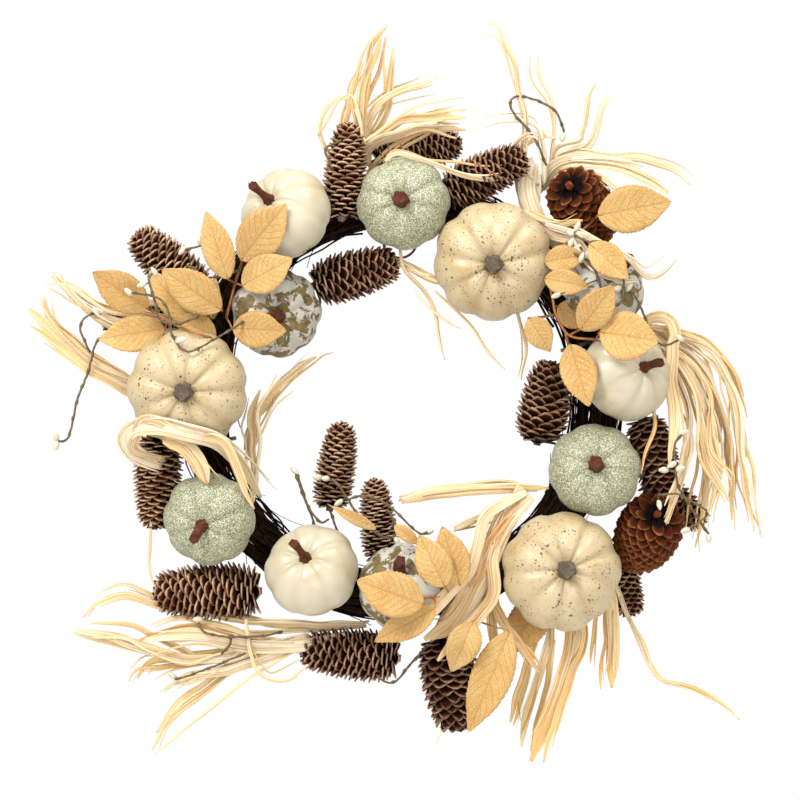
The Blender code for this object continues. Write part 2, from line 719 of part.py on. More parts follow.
def make_raffia_bunch(name, knot_point, strips, surface):
    """Strips that leave one knot and are pulled over the pieces below them."""
    knot_flat = flat_on_clock(knot_point)
    under = surface.front(knot_flat.x, knot_flat.y, KNOT_RADIUS + PIECE_GAP)
    knot_height = max(0.012, under or 0.0)
    knot_bm = bmesh.new()
    bmesh.ops.create_uvsphere(knot_bm, u_segments=10, v_segments=6, radius=KNOT_RADIUS)
    knot = mesh_object(name, knot_bm)
    knot.location = (knot_flat.x, knot_flat.y, knot_height)
    pieces = []
    added = [((knot_flat.x, knot_flat.y, knot_height), KNOT_RADIUS)]
    for number, (width, *way) in enumerate(strips):
        width *= MM
        flat = smooth_path([knot_flat] + [flat_on_clock(point) for point in way], STRIP_STEP)
        level = knot_height + (number - 0.5 * (len(strips) - 1)) * STRIP_STACK
        path = laid_over(flat, surface, 0.5 * width + PIECE_GAP, level, start=level)
        pieces.append(strip_solid(f"{name}_strip_{number}", path, width, helper_parts))
        added += [(tuple(point), 0.5 * width) for point in path]
    finish_object(unite(name, knot, pieces), "raffia", smooth_angle=0)
    surface.add(np.array([spot[0] for spot in added]), np.array([spot[1] for spot in added]))


# ---- assembly -----------------------------------------------------------------------------------------
make_ring()
make_bindings()
make_hanger()

dressing = {}
for pumpkin, (kind, angle, outward, tilt, towards) in PUMPKINS.items():
    radius, half_height, ribs, stem_radius, stem_length = PUMPKIN_KINDS[kind]
    seat = SEAT_RADIUS + half_height
    place = on_clock(angle, outward * MM, math.sqrt(seat ** 2 - (outward * MM) ** 2))
    balls = pumpkin_balls(radius, half_height, stem_radius, stem_length)
    dressing[pumpkin] = Piece(place, direction(towards, 90 - tilt), balls)
for cone, (angle, outward, front, heading, pitch, length, radius) in CONES.items():
    place = on_clock(angle, outward * MM, front * MM)
    dressing[cone] = Piece(place, direction(heading, pitch), cone_balls(length * MM, radius * MM))
settle(dressing)

surface = Surface()
surface.add(*ring_balls())
for piece in dressing.values():
    surface.add(*piece.balls())
for pumpkin, settings in PUMPKINS.items():
    make_pumpkin(pumpkin, settings[0], dressing[pumpkin])
for cone, settings in CONES.items():
    make_cone(cone, settings[5] * MM, settings[6] * MM, dressing[cone])
for spray, (stem_points, leaves) in LEAF_SPRAYS.items():
    make_leaf_spray(spray, stem_points, leaves, surface)
for bunch, (knot_point, strips) in RAFFIA_BUNCHES.items():
    make_raffia_bunch(bunch, knot_point, strips, surface)
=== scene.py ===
import math
import random

import bmesh
import bpy
import numpy as np
from mathutils import Matrix, Quaternion, Vector, noise
from mathutils.bvhtree import BVHTree

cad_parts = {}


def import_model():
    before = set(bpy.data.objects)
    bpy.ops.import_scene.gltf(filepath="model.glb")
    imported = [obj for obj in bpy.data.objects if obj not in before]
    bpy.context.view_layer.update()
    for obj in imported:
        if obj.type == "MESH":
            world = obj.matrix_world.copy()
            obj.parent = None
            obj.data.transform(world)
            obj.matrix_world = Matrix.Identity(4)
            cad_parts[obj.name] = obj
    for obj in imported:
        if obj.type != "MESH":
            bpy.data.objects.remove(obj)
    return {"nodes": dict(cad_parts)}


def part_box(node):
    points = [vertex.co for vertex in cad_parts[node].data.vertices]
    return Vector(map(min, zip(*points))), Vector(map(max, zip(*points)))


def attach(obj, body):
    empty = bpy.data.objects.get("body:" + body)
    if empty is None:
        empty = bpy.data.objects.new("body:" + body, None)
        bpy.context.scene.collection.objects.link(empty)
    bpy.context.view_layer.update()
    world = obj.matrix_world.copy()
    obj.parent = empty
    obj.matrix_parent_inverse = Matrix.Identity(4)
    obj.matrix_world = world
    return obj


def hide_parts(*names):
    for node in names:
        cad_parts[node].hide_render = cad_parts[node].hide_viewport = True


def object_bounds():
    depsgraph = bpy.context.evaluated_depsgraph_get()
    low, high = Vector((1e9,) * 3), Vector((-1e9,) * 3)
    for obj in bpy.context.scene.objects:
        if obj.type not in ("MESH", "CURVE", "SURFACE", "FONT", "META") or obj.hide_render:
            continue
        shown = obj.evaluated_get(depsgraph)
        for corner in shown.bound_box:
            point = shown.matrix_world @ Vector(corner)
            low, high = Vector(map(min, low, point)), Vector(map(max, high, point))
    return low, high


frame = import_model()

CAD_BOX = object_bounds()
MM = 0.001
GOLDEN_ANGLE = math.radians(137.508)
PARTS_PER_SPAN = 10            # straight parts between two points of a smooth curve, before they are evened

# ---- the wreath's own frame: X right, Y up, front towards the viewer, all in mm from its middle ----
HOOP_WIRE = 2.0                # wire radii, mm
BINDING_WIRE = 0.7
LOOP_WIRE = 1.0
BINDING_GAP = 1.0              # from the bundle to the middle of the wire wound round it
hoop_low, hoop_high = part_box("hoop_wire")
RING_MIDDLE = (hoop_low + hoop_high) * 0.5
RING_RADIUS = (hoop_high.x - hoop_low.x) * 0.5 / MM - HOOP_WIRE
BUNDLE_RADIUS = (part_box("binding_wire_left")[1].y - RING_MIDDLE.y) / MM - (BINDING_WIRE + BINDING_GAP)


def world(x, y, front=0.0):
    """World point (m) of a layout place (mm)."""
    return Vector((RING_MIDDLE.x + x * MM, RING_MIDDLE.y - front * MM, RING_MIDDLE.z + y * MM))


def heading(angle, front=0.0):
    """World direction at a clock angle (radians) in the wreath's plane, with a share to the front."""
    return Vector((math.cos(angle), -front, math.sin(angle))).normalized()


# ---- pieces ----
def make_piece(name, mesh_bm, finish, replaces=(), body="wreath"):
    mesh = bpy.data.meshes.new(name)
    mesh_bm.to_mesh(mesh)
    mesh_bm.free()
    mesh.materials.append(finish)
    mesh.shade_smooth()
    piece = bpy.data.objects.new(name, mesh)
    bpy.context.scene.collection.objects.link(piece)
    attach(piece, body)
    if replaces:
        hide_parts(*replaces)
    return piece


def thicken(piece, thickness):
    wall = piece.modifiers.new("thickness", "SOLIDIFY")
    wall.thickness = thickness
    wall.offset = 0.0


def wires(name, runs, finish, replaces=(), body="wreath", roundness=2):
    """Round wires, stems or twigs as one mesh. A run is (points in m, radii in mm, closed or not)."""
    curve = bpy.data.curves.new(name, "CURVE")
    curve.dimensions = "3D"
    curve.bevel_depth = MM
    curve.bevel_resolution = roundness
    curve.use_fill_caps = True
    for points, radii, closed in runs:
        spline = curve.splines.new("POLY")
        spline.points.add(len(points) - 1)
        spline.use_cyclic_u = closed
        for spot, point, radius in zip(spline.points, points, radii):
            spot.co = (*point, 1.0)
            spot.radius = radius
    guide = bpy.data.objects.new(name + "_guide", curve)
    bpy.context.scene.collection.objects.link(guide)
    bpy.context.view_layer.update()
    shaped = guide.evaluated_get(bpy.context.evaluated_depsgraph_get())
    mesh = bpy.data.meshes.new_from_object(shaped)
    bpy.data.objects.remove(guide)
    bpy.data.curves.remove(curve)
    mesh_bm = bmesh.new()
    mesh_bm.from_mesh(mesh)
    bpy.data.meshes.remove(mesh)
    bmesh.ops.remove_doubles(mesh_bm, verts=mesh_bm.verts, dist=1e-7)
    return make_piece(name, mesh_bm, finish, replaces, body)


def run_of(points, radii):
    """An open run for wires(), from layout points and radii, all in mm."""
    return ([world(*point) for point in points], radii, False)


def cover(verts, uv_layer, placed):
    """Give the faces of the new points their UVs by a rule that takes a point's place on the flat grid."""
    for face in {face for vert in verts for face in vert.link_faces}:
        for loop in face.loops:
            loop[uv_layer].uv = placed(loop.vert.co)


def curve_through(points, step):
    """Even points along a smooth curve through the given vectors, about a step (metres) apart."""
    ends = [2 * points[0] - points[1]] + list(points) + [2 * points[-1] - points[-2]]
    dense = []
    for before, start, end, after in zip(ends, ends[1:], ends[2:], ends[3:]):
        for part in range(PARTS_PER_SPAN):
            t = part / PARTS_PER_SPAN
            dense.append(0.5 * ((2 * start) + (end - before) * t
                                + (2 * before - 5 * start + 4 * end - after) * t * t
                                + (3 * start - before - 3 * end + after) * t * t * t))
    dense.append(points[-1])
    walked = [0.0]
    for first, second in zip(dense, dense[1:]):
        walked.append(walked[-1] + (second - first).length)
    marks = np.linspace(0.0, walked[-1], max(3, round(walked[-1] / step) + 1))
    columns = [np.interp(marks, walked, values) for values in zip(*dense)]
    return [Vector(spot) for spot in zip(*columns)]


# ---- node materials ----
LIT = 0.50                     # share of a display colour that the soft boxes bring back up to it


def linear(red, green, blue):
    """Scene colour of a display colour."""
    return tuple(LIT * channel ** 2.2 for channel in (red, green, blue)) + (1.0,)


class Finish:
    """A Principled material and short ways to add nodes to it and to wire them up."""

    def __init__(self, name, roughness=0.6, metallic=0.0, specular=0.5):
        self.material = bpy.data.materials.new(name)
        self.material.use_nodes = True
        self.tree = self.material.node_tree
        self.shader = self.tree.nodes["Principled BSDF"]
        self.feed("Roughness", roughness)
        self.feed("Metallic", metallic)
        self.feed("Specular IOR Level", specular)

    def plug(self, value, socket):
        """Link a node's output to a socket, or set the socket to a plain value."""
        if isinstance(value, bpy.types.NodeSocket):
            self.tree.links.new(value, socket)
        else:
            socket.default_value = value

    def feed(self, socket, value):
        self.plug(value, self.shader.inputs[socket])

    def node(self, kind, inputs=(), **settings):
        made = self.tree.nodes.new(kind)
        for key, value in settings.items():
            setattr(made, key, value)
        for key, value in dict(inputs).items():
            self.plug(value, made.inputs[key])
        return made

    def attribute(self, name):
        return self.node("ShaderNodeAttribute", attribute_name=name).outputs["Fac"]

    def place(self, kind="Object", scale=(1.0, 1.0, 1.0)):
        coordinates = self.node("ShaderNodeTexCoord")
        return self.node("ShaderNodeMapping", {"Vector": coordinates.outputs[kind],
                                               "Scale": scale}).outputs["Vector"]

    def noise(self, scale, detail=3.0, roughness=0.5, where=None, distortion=0.0):
        where = where or self.place()
        made = self.node("ShaderNodeTexNoise", {"Vector": where, "Scale": scale, "Detail": detail,
                                                "Roughness": roughness, "Distortion": distortion})
        return made.outputs["Fac"]

    def cells(self, scale, where):
        return self.node("ShaderNodeTexVoronoi", {"Vector": where, "Scale": scale})

    def odds(self, cell, channel):
        """A number from 0 to 1 for each cell."""
        return self.node("ShaderNodeSeparateColor", {"Color": cell.outputs["Color"]}).outputs[channel]

    def ramp(self, value, *stops):
        made = self.node("ShaderNodeValToRGB", {"Fac": value})
        elements = made.color_ramp.elements
        while len(elements) < len(stops):
            elements.new(0.5)
        for element, (position, colour) in zip(elements, stops):
            element.position = position
            element.color = colour if len(colour) == 4 else (*colour, 1.0)
        return made.outputs["Color"]

    def fade(self, value, low, high, bottom=0.0, top=1.0):
        made = self.node("ShaderNodeMapRange", {"Value": value, "From Min": low, "From Max": high,
                                                "To Min": bottom, "To Max": top}, clamp=True)
        return made.outputs["Result"]

    def math(self, operation, first, second=0.0):
        made = self.node("ShaderNodeMath", {0: first, 1: second}, operation=operation)
        return made.outputs["Value"]

    def plus(self, first, second):
        return self.math("ADD", first, second)

    def minus(self, first, second):
        return self.math("SUBTRACT", first, second)

    def times(self, first, second):
        return self.math("MULTIPLY", first, second)

    def mix(self, share, first, second):
        made = self.node("ShaderNodeMix", data_type="RGBA")
        for name, kind, value in (("Factor", "VALUE", share), ("A", "RGBA", first), ("B", "RGBA", second)):
            self.plug(value, next(one for one in made.inputs if one.name == name and one.type == kind))
        return next(one for one in made.outputs if one.type == "RGBA")

    def bump(self, height, distance, strength=1.0, under=None):
        inputs = {"Height": height, "Distance": distance, "Strength": strength}
        if under is not None:
            inputs["Normal"] = under
        return self.node("ShaderNodeBump", inputs).outputs["Normal"]


def let_light_in(finish, weight, reach):
    """Thin fibre scatters a little light inside it, by a reach (m) for each colour."""
    finish.feed("Subsurface Weight", weight)
    finish.feed("Subsurface Radius", reach)
    finish.feed("Subsurface Scale", 1.0)


def paint_finish(name, base, valley, roughness):
    """Painted foam: soft tone changes, and painted shade that darkens the valleys between the ribs and the
    dimples at the poles.
    """
    # valley: a darker colour, used both for the random cloudy tone and for the painted shade in the grooves
    finish = Finish(name, roughness=roughness)
    painted_groove_shade = finish.attribute("painted_groove_shade")
    clouds = finish.noise(45.0, 4.0, 0.6)
    tone = finish.ramp(clouds, (0.3, valley), (0.62, base))
    tone = finish.mix(finish.fade(clouds, 0.35, 0.6, 0.0, 1.0), tone, base)
    # painted shade: up to 30% of the darker valley colour where the groove mask is high, in the grooves and
    # round the pole dimples
    tone = finish.mix(finish.fade(painted_groove_shade, 0.2, 1.0, 0.0, 0.30), tone, valley)
    return finish, tone


def speckled_finish():
    """Cream paint under brown specks of three sizes, thicker in some places."""
    finish, tone = paint_finish("speckled_paint", linear(0.89, 0.80, 0.62), linear(0.82, 0.70, 0.49), 0.40)
    where = finish.place()
    crowd = finish.noise(70.0, 2.0, 0.5, where)
    brown = linear(0.40, 0.24, 0.10)
    for scale, reach in ((230.0, 0.30), (400.0, 0.36), (700.0, 0.36)):
        cell = finish.cells(scale, where)
        odds = finish.odds(cell, "Red")
        crowding = finish.fade(crowd, 0.38, 0.62, 0.55, 1.0)
        size = finish.times(finish.fade(odds, 0.1, 1.0, 0.1, 1.0), crowding)
        edge = finish.minus(finish.times(size, reach), cell.outputs["Distance"])
        tone = finish.mix(finish.fade(edge, 0.0, 0.05, 0.0, 0.9), tone, brown)
    finish.feed("Base Color", tone)
    finish.feed("Roughness", finish.fade(crowd, 0.3, 0.7, 0.36, 0.5))
    finish.feed("Normal", finish.bump(finish.noise(420.0, 3.0, 0.6, where), 0.00012, 0.5))
    return finish.material


def sage_finish():
    """Sage green paint under olive grain and two sizes of pale glitter."""
    finish, tone = paint_finish("sage_glitter_paint", linear(0.65, 0.655, 0.54), linear(0.54, 0.545, 0.43),
                                0.5)
    where = finish.place()
    grain = finish.noise(900.0, 2.0, 0.7, where)
    tone = finish.mix(finish.fade(grain, 0.44, 0.58, 0.0, 0.8), tone, linear(0.44, 0.425, 0.27))
    for scale, colour, strength in ((1250.0, linear(0.86, 0.84, 0.54), 0.75),
                                    (1000.0, linear(0.97, 0.96, 0.88), 0.8)):
        cell = finish.cells(scale, where)
        odds = finish.odds(cell, "Green")
        dot = finish.minus(finish.fade(odds, 0.1, 1.0, 0.22, 0.60), cell.outputs["Distance"])
        tone = finish.mix(finish.fade(dot, 0.0, 0.06, 0.0, strength), tone, colour)
    finish.feed("Base Color", tone)
    finish.feed("Roughness", finish.fade(grain, 0.35, 0.7, 0.62, 0.38))
    finish.feed("Normal", finish.bump(grain, 0.0003, 0.5))
    return finish.material


def ivory_finish():
    """Smooth ivory paint with broad, faint shading."""
    finish, tone = paint_finish("ivory_paint", linear(0.90, 0.85, 0.73), linear(0.83, 0.75, 0.58), 0.36)
    where = finish.place()
    shade = finish.fade(finish.noise(18.0, 3.0, 0.5, where), 0.4, 0.7, 0.0, 0.45)
    finish.feed("Base Color", finish.mix(shade, tone, linear(0.86, 0.81, 0.68)))
    finish.feed("Roughness", finish.fade(finish.noise(120.0, 3.0, 0.5, where), 0.3, 0.7, 0.30, 0.44))
    finish.feed("Normal", finish.bump(finish.noise(350.0, 2.0, 0.5, where), 0.0001, 0.35))
    return finish.material


def mottled_finish():
    """Chalky white with ragged olive blotches, darker at their rims."""
    finish, tone = paint_finish("mottled_print", linear(0.90, 0.87, 0.80), linear(0.76, 0.72, 0.64), 0.68)
    where = finish.place()
    chalk = finish.noise(260.0, 5.0, 0.75, where)
    tone = finish.mix(finish.fade(chalk, 0.50, 0.70, 0.0, 0.45), tone, linear(0.62, 0.60, 0.58))
    patch = finish.noise(80.0, 5.0, 0.64, where, 0.5)
    ragged = finish.plus(patch, finish.times(finish.minus(chalk, 0.5), 0.12))
    moss = finish.ramp(finish.noise(150.0, 3.0, 0.6, where), (0.35, linear(0.36, 0.27, 0.03)),
                       (0.6, linear(0.54, 0.44, 0.07)))
    tone = finish.mix(finish.fade(ragged, 0.522, 0.540, 0.0, 0.95), tone, moss)
    rim = finish.times(finish.fade(ragged, 0.512, 0.527), finish.fade(ragged, 0.56, 0.54))
    finish.feed("Base Color", finish.mix(finish.times(rim, 0.5), tone, linear(0.30, 0.21, 0.08)))
    finish.feed("Normal", finish.bump(chalk, 0.0004, 0.6))
    return finish.material


def stem_finish(name, dark, light):
    """Moulded and painted stem with raised fibres that run from base to tip."""
    finish = Finish(name, roughness=0.7, specular=0.15)
    lengthwise = finish.place("UV", (26.0, 2.0, 1.0))
    fibres = finish.noise(3.0, 4.0, 0.6, lengthwise, 0.4)
    wear = finish.noise(280.0, 3.0, 0.6)
    tone = finish.ramp(fibres, (0.38, dark), (0.62, light))
    finish.feed("Base Color", finish.mix(finish.fade(wear, 0.50, 0.66, 0.0, 0.7), tone, light))
    finish.feed("Roughness", finish.fade(fibres, 0.3, 0.7, 0.75, 0.5))
    finish.feed("Normal", finish.bump(fibres, 0.0006, 0.8))
    return finish.material


def cone_finish(name, root_shade_and_streak, middle, edge):
    """Scales: painted shade in very dark brown at the root, redder in the middle, frosted pale at the outer
    edge.
    """
    finish = Finish(name, roughness=0.8, specular=0.05)
    where = finish.place("UV")
    parts = finish.node("ShaderNodeSeparateXYZ", {"Vector": where})
    across = finish.math("ABSOLUTE", finish.minus(parts.outputs["X"], 0.5))
    grain = finish.noise(420.0, 4.0, 0.65)
    streak = finish.noise(5.0, 3.0, 0.6, finish.place("UV", (9.0, 1.2, 1.0)))
    rough_edge = finish.plus(parts.outputs["Y"], finish.times(finish.minus(grain, 0.5), 0.30))
    # painted shade: very dark brown towards the scale's root, where it lies in the shade between scales; the
    # same dark colour also gives random lengthwise streaks
    tone = finish.ramp(parts.outputs["Y"], (0.52, root_shade_and_streak), (0.92, middle))
    tone = finish.mix(finish.fade(streak, 0.4, 0.7, 0.0, 0.5), tone, root_shade_and_streak)
    lip = finish.fade(rough_edge, 0.88, 0.99, 0.0, 0.9)
    side = finish.times(finish.fade(across, 0.38, 0.47, 0.0, 0.6), finish.fade(rough_edge, 0.5, 0.85))
    frost = finish.fade(finish.noise(75.0, 2.0, 0.5), 0.34, 0.60, 0.25, 1.0)
    pale = finish.times(finish.math("MAXIMUM", lip, side), frost)
    finish.feed("Base Color", finish.mix(pale, tone, edge))
    finish.feed("Roughness", finish.fade(grain, 0.3, 0.7, 0.8, 0.55))
    finish.feed("Normal", finish.bump(grain, 0.0003, 0.6))
    return finish.material


def leaf_finish():
    """Stiffened woven leaf: a pale mesh of threads, darker veins and a soft sheen."""
    finish = Finish("leaf_fabric", roughness=0.68, specular=0.3)
    finish.feed("Sheen Weight", 0.2)
    finish.feed("Sheen Roughness", 0.5)
    let_light_in(finish, 0.2, (0.003, 0.0018, 0.0006))
    parts = finish.node("ShaderNodeSeparateXYZ", {"Vector": finish.place("UV")})
    wobble = finish.times(finish.minus(finish.noise(110.0, 2.0), 0.5), 0.05)
    across = finish.math("ABSOLUTE", finish.plus(finish.minus(parts.outputs["X"], 0.5), wobble))
    slanted = finish.minus(finish.times(parts.outputs["Y"], 9.0),
                          finish.times(finish.math("POWER", across, 1.3), 6.0))
    saw = finish.math("ABSOLUTE", finish.minus(finish.math("FRACT", slanted), 0.5))
    side_veins = finish.times(finish.fade(saw, 0.09, 0.0), finish.fade(across, 0.5, 0.38, 0.35, 1.0))
    veins = finish.math("MAXIMUM", side_veins, finish.fade(across, 0.04, 0.01))
    where = finish.place()
    threads = finish.cells(760.0, where).outputs["Distance"]
    grain = finish.noise(700.0, 3.0, 0.7, where)
    clouds = finish.noise(55.0, 4.0, 0.65, where)
    age = finish.attribute("tone")
    tone = finish.ramp(clouds, (0.32, linear(0.88, 0.67, 0.36)), (0.66, linear(0.95, 0.79, 0.49)))
    tone = finish.mix(finish.fade(age, 0.0, 1.0, 0.0, 0.6), tone, linear(0.84, 0.63, 0.34))
    tone = finish.mix(finish.fade(grain, 0.45, 0.30, 0.0, 0.5), tone, linear(0.74, 0.52, 0.25))
    tone = finish.mix(finish.fade(threads, 0.36, 0.16, 0.0, 0.7), tone, linear(1.0, 0.92, 0.74))
    tone = finish.mix(finish.times(veins, 0.36), tone, linear(0.74, 0.52, 0.26))
    tone = finish.mix(finish.fade(across, 0.46, 0.5, 0.0, 0.5), tone, linear(0.74, 0.52, 0.26))
    finish.feed("Base Color", tone)
    woven = finish.bump(threads, 0.00025, 0.5)
    finish.feed("Normal", finish.bump(veins, -0.0005, 0.6, woven))
    return finish.material


def raffia_finish():
    """Dried husk strips: fine lengthwise fibres, cream to tan from strip to strip."""
    finish = Finish("dried_raffia", roughness=0.7, specular=0.15)
    let_light_in(finish, 0.25, (0.004, 0.0025, 0.001))
    grain = finish.noise(8.0, 3.0, 0.6, finish.place("UV", (0.90, 0.16, 1.0)))
    fine = finish.noise(9.0, 3.0, 0.7, finish.place("UV", (1.8, 0.10, 1.0)))
    age = finish.attribute("tone")
    tone = finish.ramp(age, (0.0, linear(1.12, 1.03, 0.90)), (0.4, linear(1.11, 0.98, 0.78)),
                       (0.75, linear(1.06, 0.84, 0.57)), (1.0, linear(0.97, 0.68, 0.39)))
    tone = finish.mix(finish.fade(grain, 0.50, 0.40, 0.0, 0.65), tone, linear(0.93, 0.70, 0.44))
    tone = finish.mix(finish.fade(fine, 0.53, 0.60, 0.0, 0.6), tone, linear(0.78, 0.54, 0.30))
    tone = finish.mix(finish.fade(fine, 0.46, 0.38, 0.0, 0.7), tone, linear(1.12, 1.05, 0.92))
    finish.feed("Base Color", tone)
    finish.feed("Roughness", finish.fade(grain, 0.3, 0.7, 0.8, 0.6))
    finish.feed("Normal", finish.bump(grain, 0.0005, 0.6, finish.bump(fine, 0.0002, 0.5)))
    return finish.material


def grained_finish(name, dark, light, roughness, scale, depth, metallic=0.0, specular=0.5):
    """A finish that varies between two tones in small patches, with a matching relief."""
    finish = Finish(name, roughness=roughness, metallic=metallic, specular=specular)
    patches = finish.noise(scale, 4.0, 0.6)
    finish.feed("Base Color", finish.ramp(patches, (0.32, dark), (0.68, light)))
    finish.feed("Roughness", finish.fade(patches, 0.3, 0.7, min(1.0, roughness + 0.12), roughness - 0.08))
    finish.feed("Normal", finish.bump(finish.noise(3 * scale, 3.0, 0.6), depth, 0.6))
    return finish.material


SPECKLED = speckled_finish()
SAGE = sage_finish()
IVORY = ivory_finish()
MOTTLED = mottled_finish()
STEM_GREY = stem_finish("stem_grey_brown", linear(0.22, 0.18, 0.13), linear(0.58, 0.51, 0.43))
STEM_RED = stem_finish("stem_red_brown", linear(0.20, 0.07, 0.04), linear(0.50, 0.28, 0.19))
# first colour of each cone finish: painted shade at the scale roots, also used for the dark streaks
CONE_BROWN = cone_finish("cone_scales", linear(0.06, 0.02, 0.01), linear(0.40, 0.20, 0.09),
                         linear(0.96, 0.80, 0.64))
CONE_DARK = cone_finish("cone_scales_dark", linear(0.05, 0.02, 0.01), linear(0.25, 0.11, 0.045),
                        linear(0.88, 0.69, 0.54))
CONE_RED = cone_finish("cone_scales_red", linear(0.07, 0.02, 0.01), linear(0.40, 0.19, 0.08),
                       linear(0.70, 0.45, 0.27))
LEAF = leaf_finish()
RAFFIA = raffia_finish()
LEAF_STEM = grained_finish("leaf_stem_plastic", linear(0.68, 0.38, 0.12), linear(0.84, 0.54, 0.22), 0.45,
                           300.0, 0.0001)
VINE = grained_finish("vine_wire", linear(0.30, 0.23, 0.12), linear(0.52, 0.43, 0.26), 0.7, 350.0, 0.0003)
BERRY = grained_finish("rice_berry", linear(0.88, 0.83, 0.68), linear(0.97, 0.95, 0.86), 0.4, 400.0, 0.0001)
TWIG = grained_finish("dark_twig", linear(0.07, 0.045, 0.03), linear(0.28, 0.19, 0.13), 0.85, 220.0, 0.0004,
                      specular=0.05)
WIRE = grained_finish("dull_wire", linear(0.26, 0.25, 0.24), linear(0.44, 0.42, 0.40), 0.42, 500.0, 0.00005,
                      metallic=1.0)


# ---- what the CAD nodes say about a piece ----
def node_points(node):
    return np.array([vert.co for vert in frame["nodes"][node].data.vertices], float)


def pumpkin_measures(node):
    """Centre, axis towards the stem, radius and half height of a pumpkin (metres)."""
    points = node_points(node)
    centre = points.mean(axis=0)
    axis = node_points(node.replace("pumpkin", "stem")).mean(axis=0) - centre
    axis /= np.linalg.norm(axis)
    along = (points - centre) @ axis
    across = np.linalg.norm(points - centre - np.outer(along, axis), axis=1)
    return Vector(centre), Vector(axis), float(across.max()), float(along.max())


def cone_measures(node):
    """Centre, axis from butt to tip, length and radius of a cone with its scales (metres)."""
    points = node_points(node)
    centre = points.mean(axis=0)
    axis = np.linalg.eigh(np.cov((points - centre).T))[1][:, 2]
    along = (points - centre) @ axis
    across = np.linalg.norm(points - centre - np.outer(along, axis), axis=1)
    middle = 0.5 * (along.max() + along.min())
    if across[along > middle].mean() > across[along < middle].mean():
        axis = -axis
        middle = -middle
    if node in TURNED_CONES:
        axis, middle = -axis, -middle
    centre = centre + axis * middle
    length = SCALES_PAST_LENGTH * float(along.max() - along.min())
    return Vector(centre), Vector(axis), length, SCALES_PAST_RADIUS * float(across.max())


def turned_to(axis, centre):
    """The move that takes a piece made upright at the origin to its centre, with its top along the axis."""
    return Matrix.Translation(centre) @ axis.to_track_quat("Z", "Y").to_matrix().to_4x4()


def blocking_surface():
    """The pumpkins and cones as one tree, for laying strips, leaves and vines over them."""
    solid_bm = bmesh.new()
    for node, item in frame["nodes"].items():
        if node.startswith(("pumpkin", "cone", "stem")):
            solid_bm.from_mesh(item.data)
    tree = BVHTree.FromBMesh(solid_bm)
    solid_bm.free()
    return tree


BLOCKS = blocking_surface()


IN_FRONT = 400.0               # where the search for a surface starts, mm before the ring
LOOKS_BACK = 0.375             # how far it goes, m: to 25 mm before the ring's middle


def front_at(x, y):
    """Height in mm of the foremost pumpkin or cone at a layout place, or None."""
    spot = BLOCKS.ray_cast(world(x, y, IN_FRONT), Vector((0.0, 1.0, 0.0)), LOOKS_BACK)[0]
    return None if spot is None else (RING_MIDDLE.y - spot.y) / MM


def highest_near(x, y, reach):
    """Foremost height in mm within a reach of a layout place, or None."""
    around = ((0, 0), (1, 0), (-1, 0), (0, 1), (0, -1))
    found = [front_at(x + reach * right, y + reach * up) for right, up in around]
    found = [height for height in found if height is not None]
    return max(found) if found else None


def laid_over(flat_points, lows, reach, clearance):
    """Heights of a strip pulled tight over what is below it: the upper hull of what it must clear."""
    walked = [0.0]
    for first, second in zip(flat_points, flat_points[1:]):
        walked.append(walked[-1] + (second - first).length)
    needed = []
    for point, low in zip(flat_points, lows):
        height = highest_near(point.x, point.y, reach)
        needed.append(low if height is None else max(low, height + clearance))
    hull = []
    for number in range(len(flat_points)):
        while len(hull) > 1:
            before, middle = hull[-2], hull[-1]
            rise = (needed[middle] - needed[before]) * (walked[number] - walked[before])
            if rise <= (needed[number] - needed[before]) * (walked[middle] - walked[before]):
                hull.pop()
            else:
                break
        hull.append(number)
    return np.interp(walked, [walked[number] for number in hull], [needed[number] for number in hull])


# ---- pumpkins ----
# number of ribs, and how deep the grooves are as a share of the radius
RIBS = {"speckled": (9, 0.052), "sage": (8, 0.050), "ivory": (8, 0.038), "mottled": (9, 0.055)}
PAINTS = {"speckled": SPECKLED, "sage": SAGE, "ivory": IVORY, "mottled": MOTTLED}
POINTS_PER_RIB = 14
PUMPKIN_ROWS = 46
DIMPLE_DEPTH = 0.20            # shares of the half height and of the radius
DIMPLE_WIDTH = 0.26


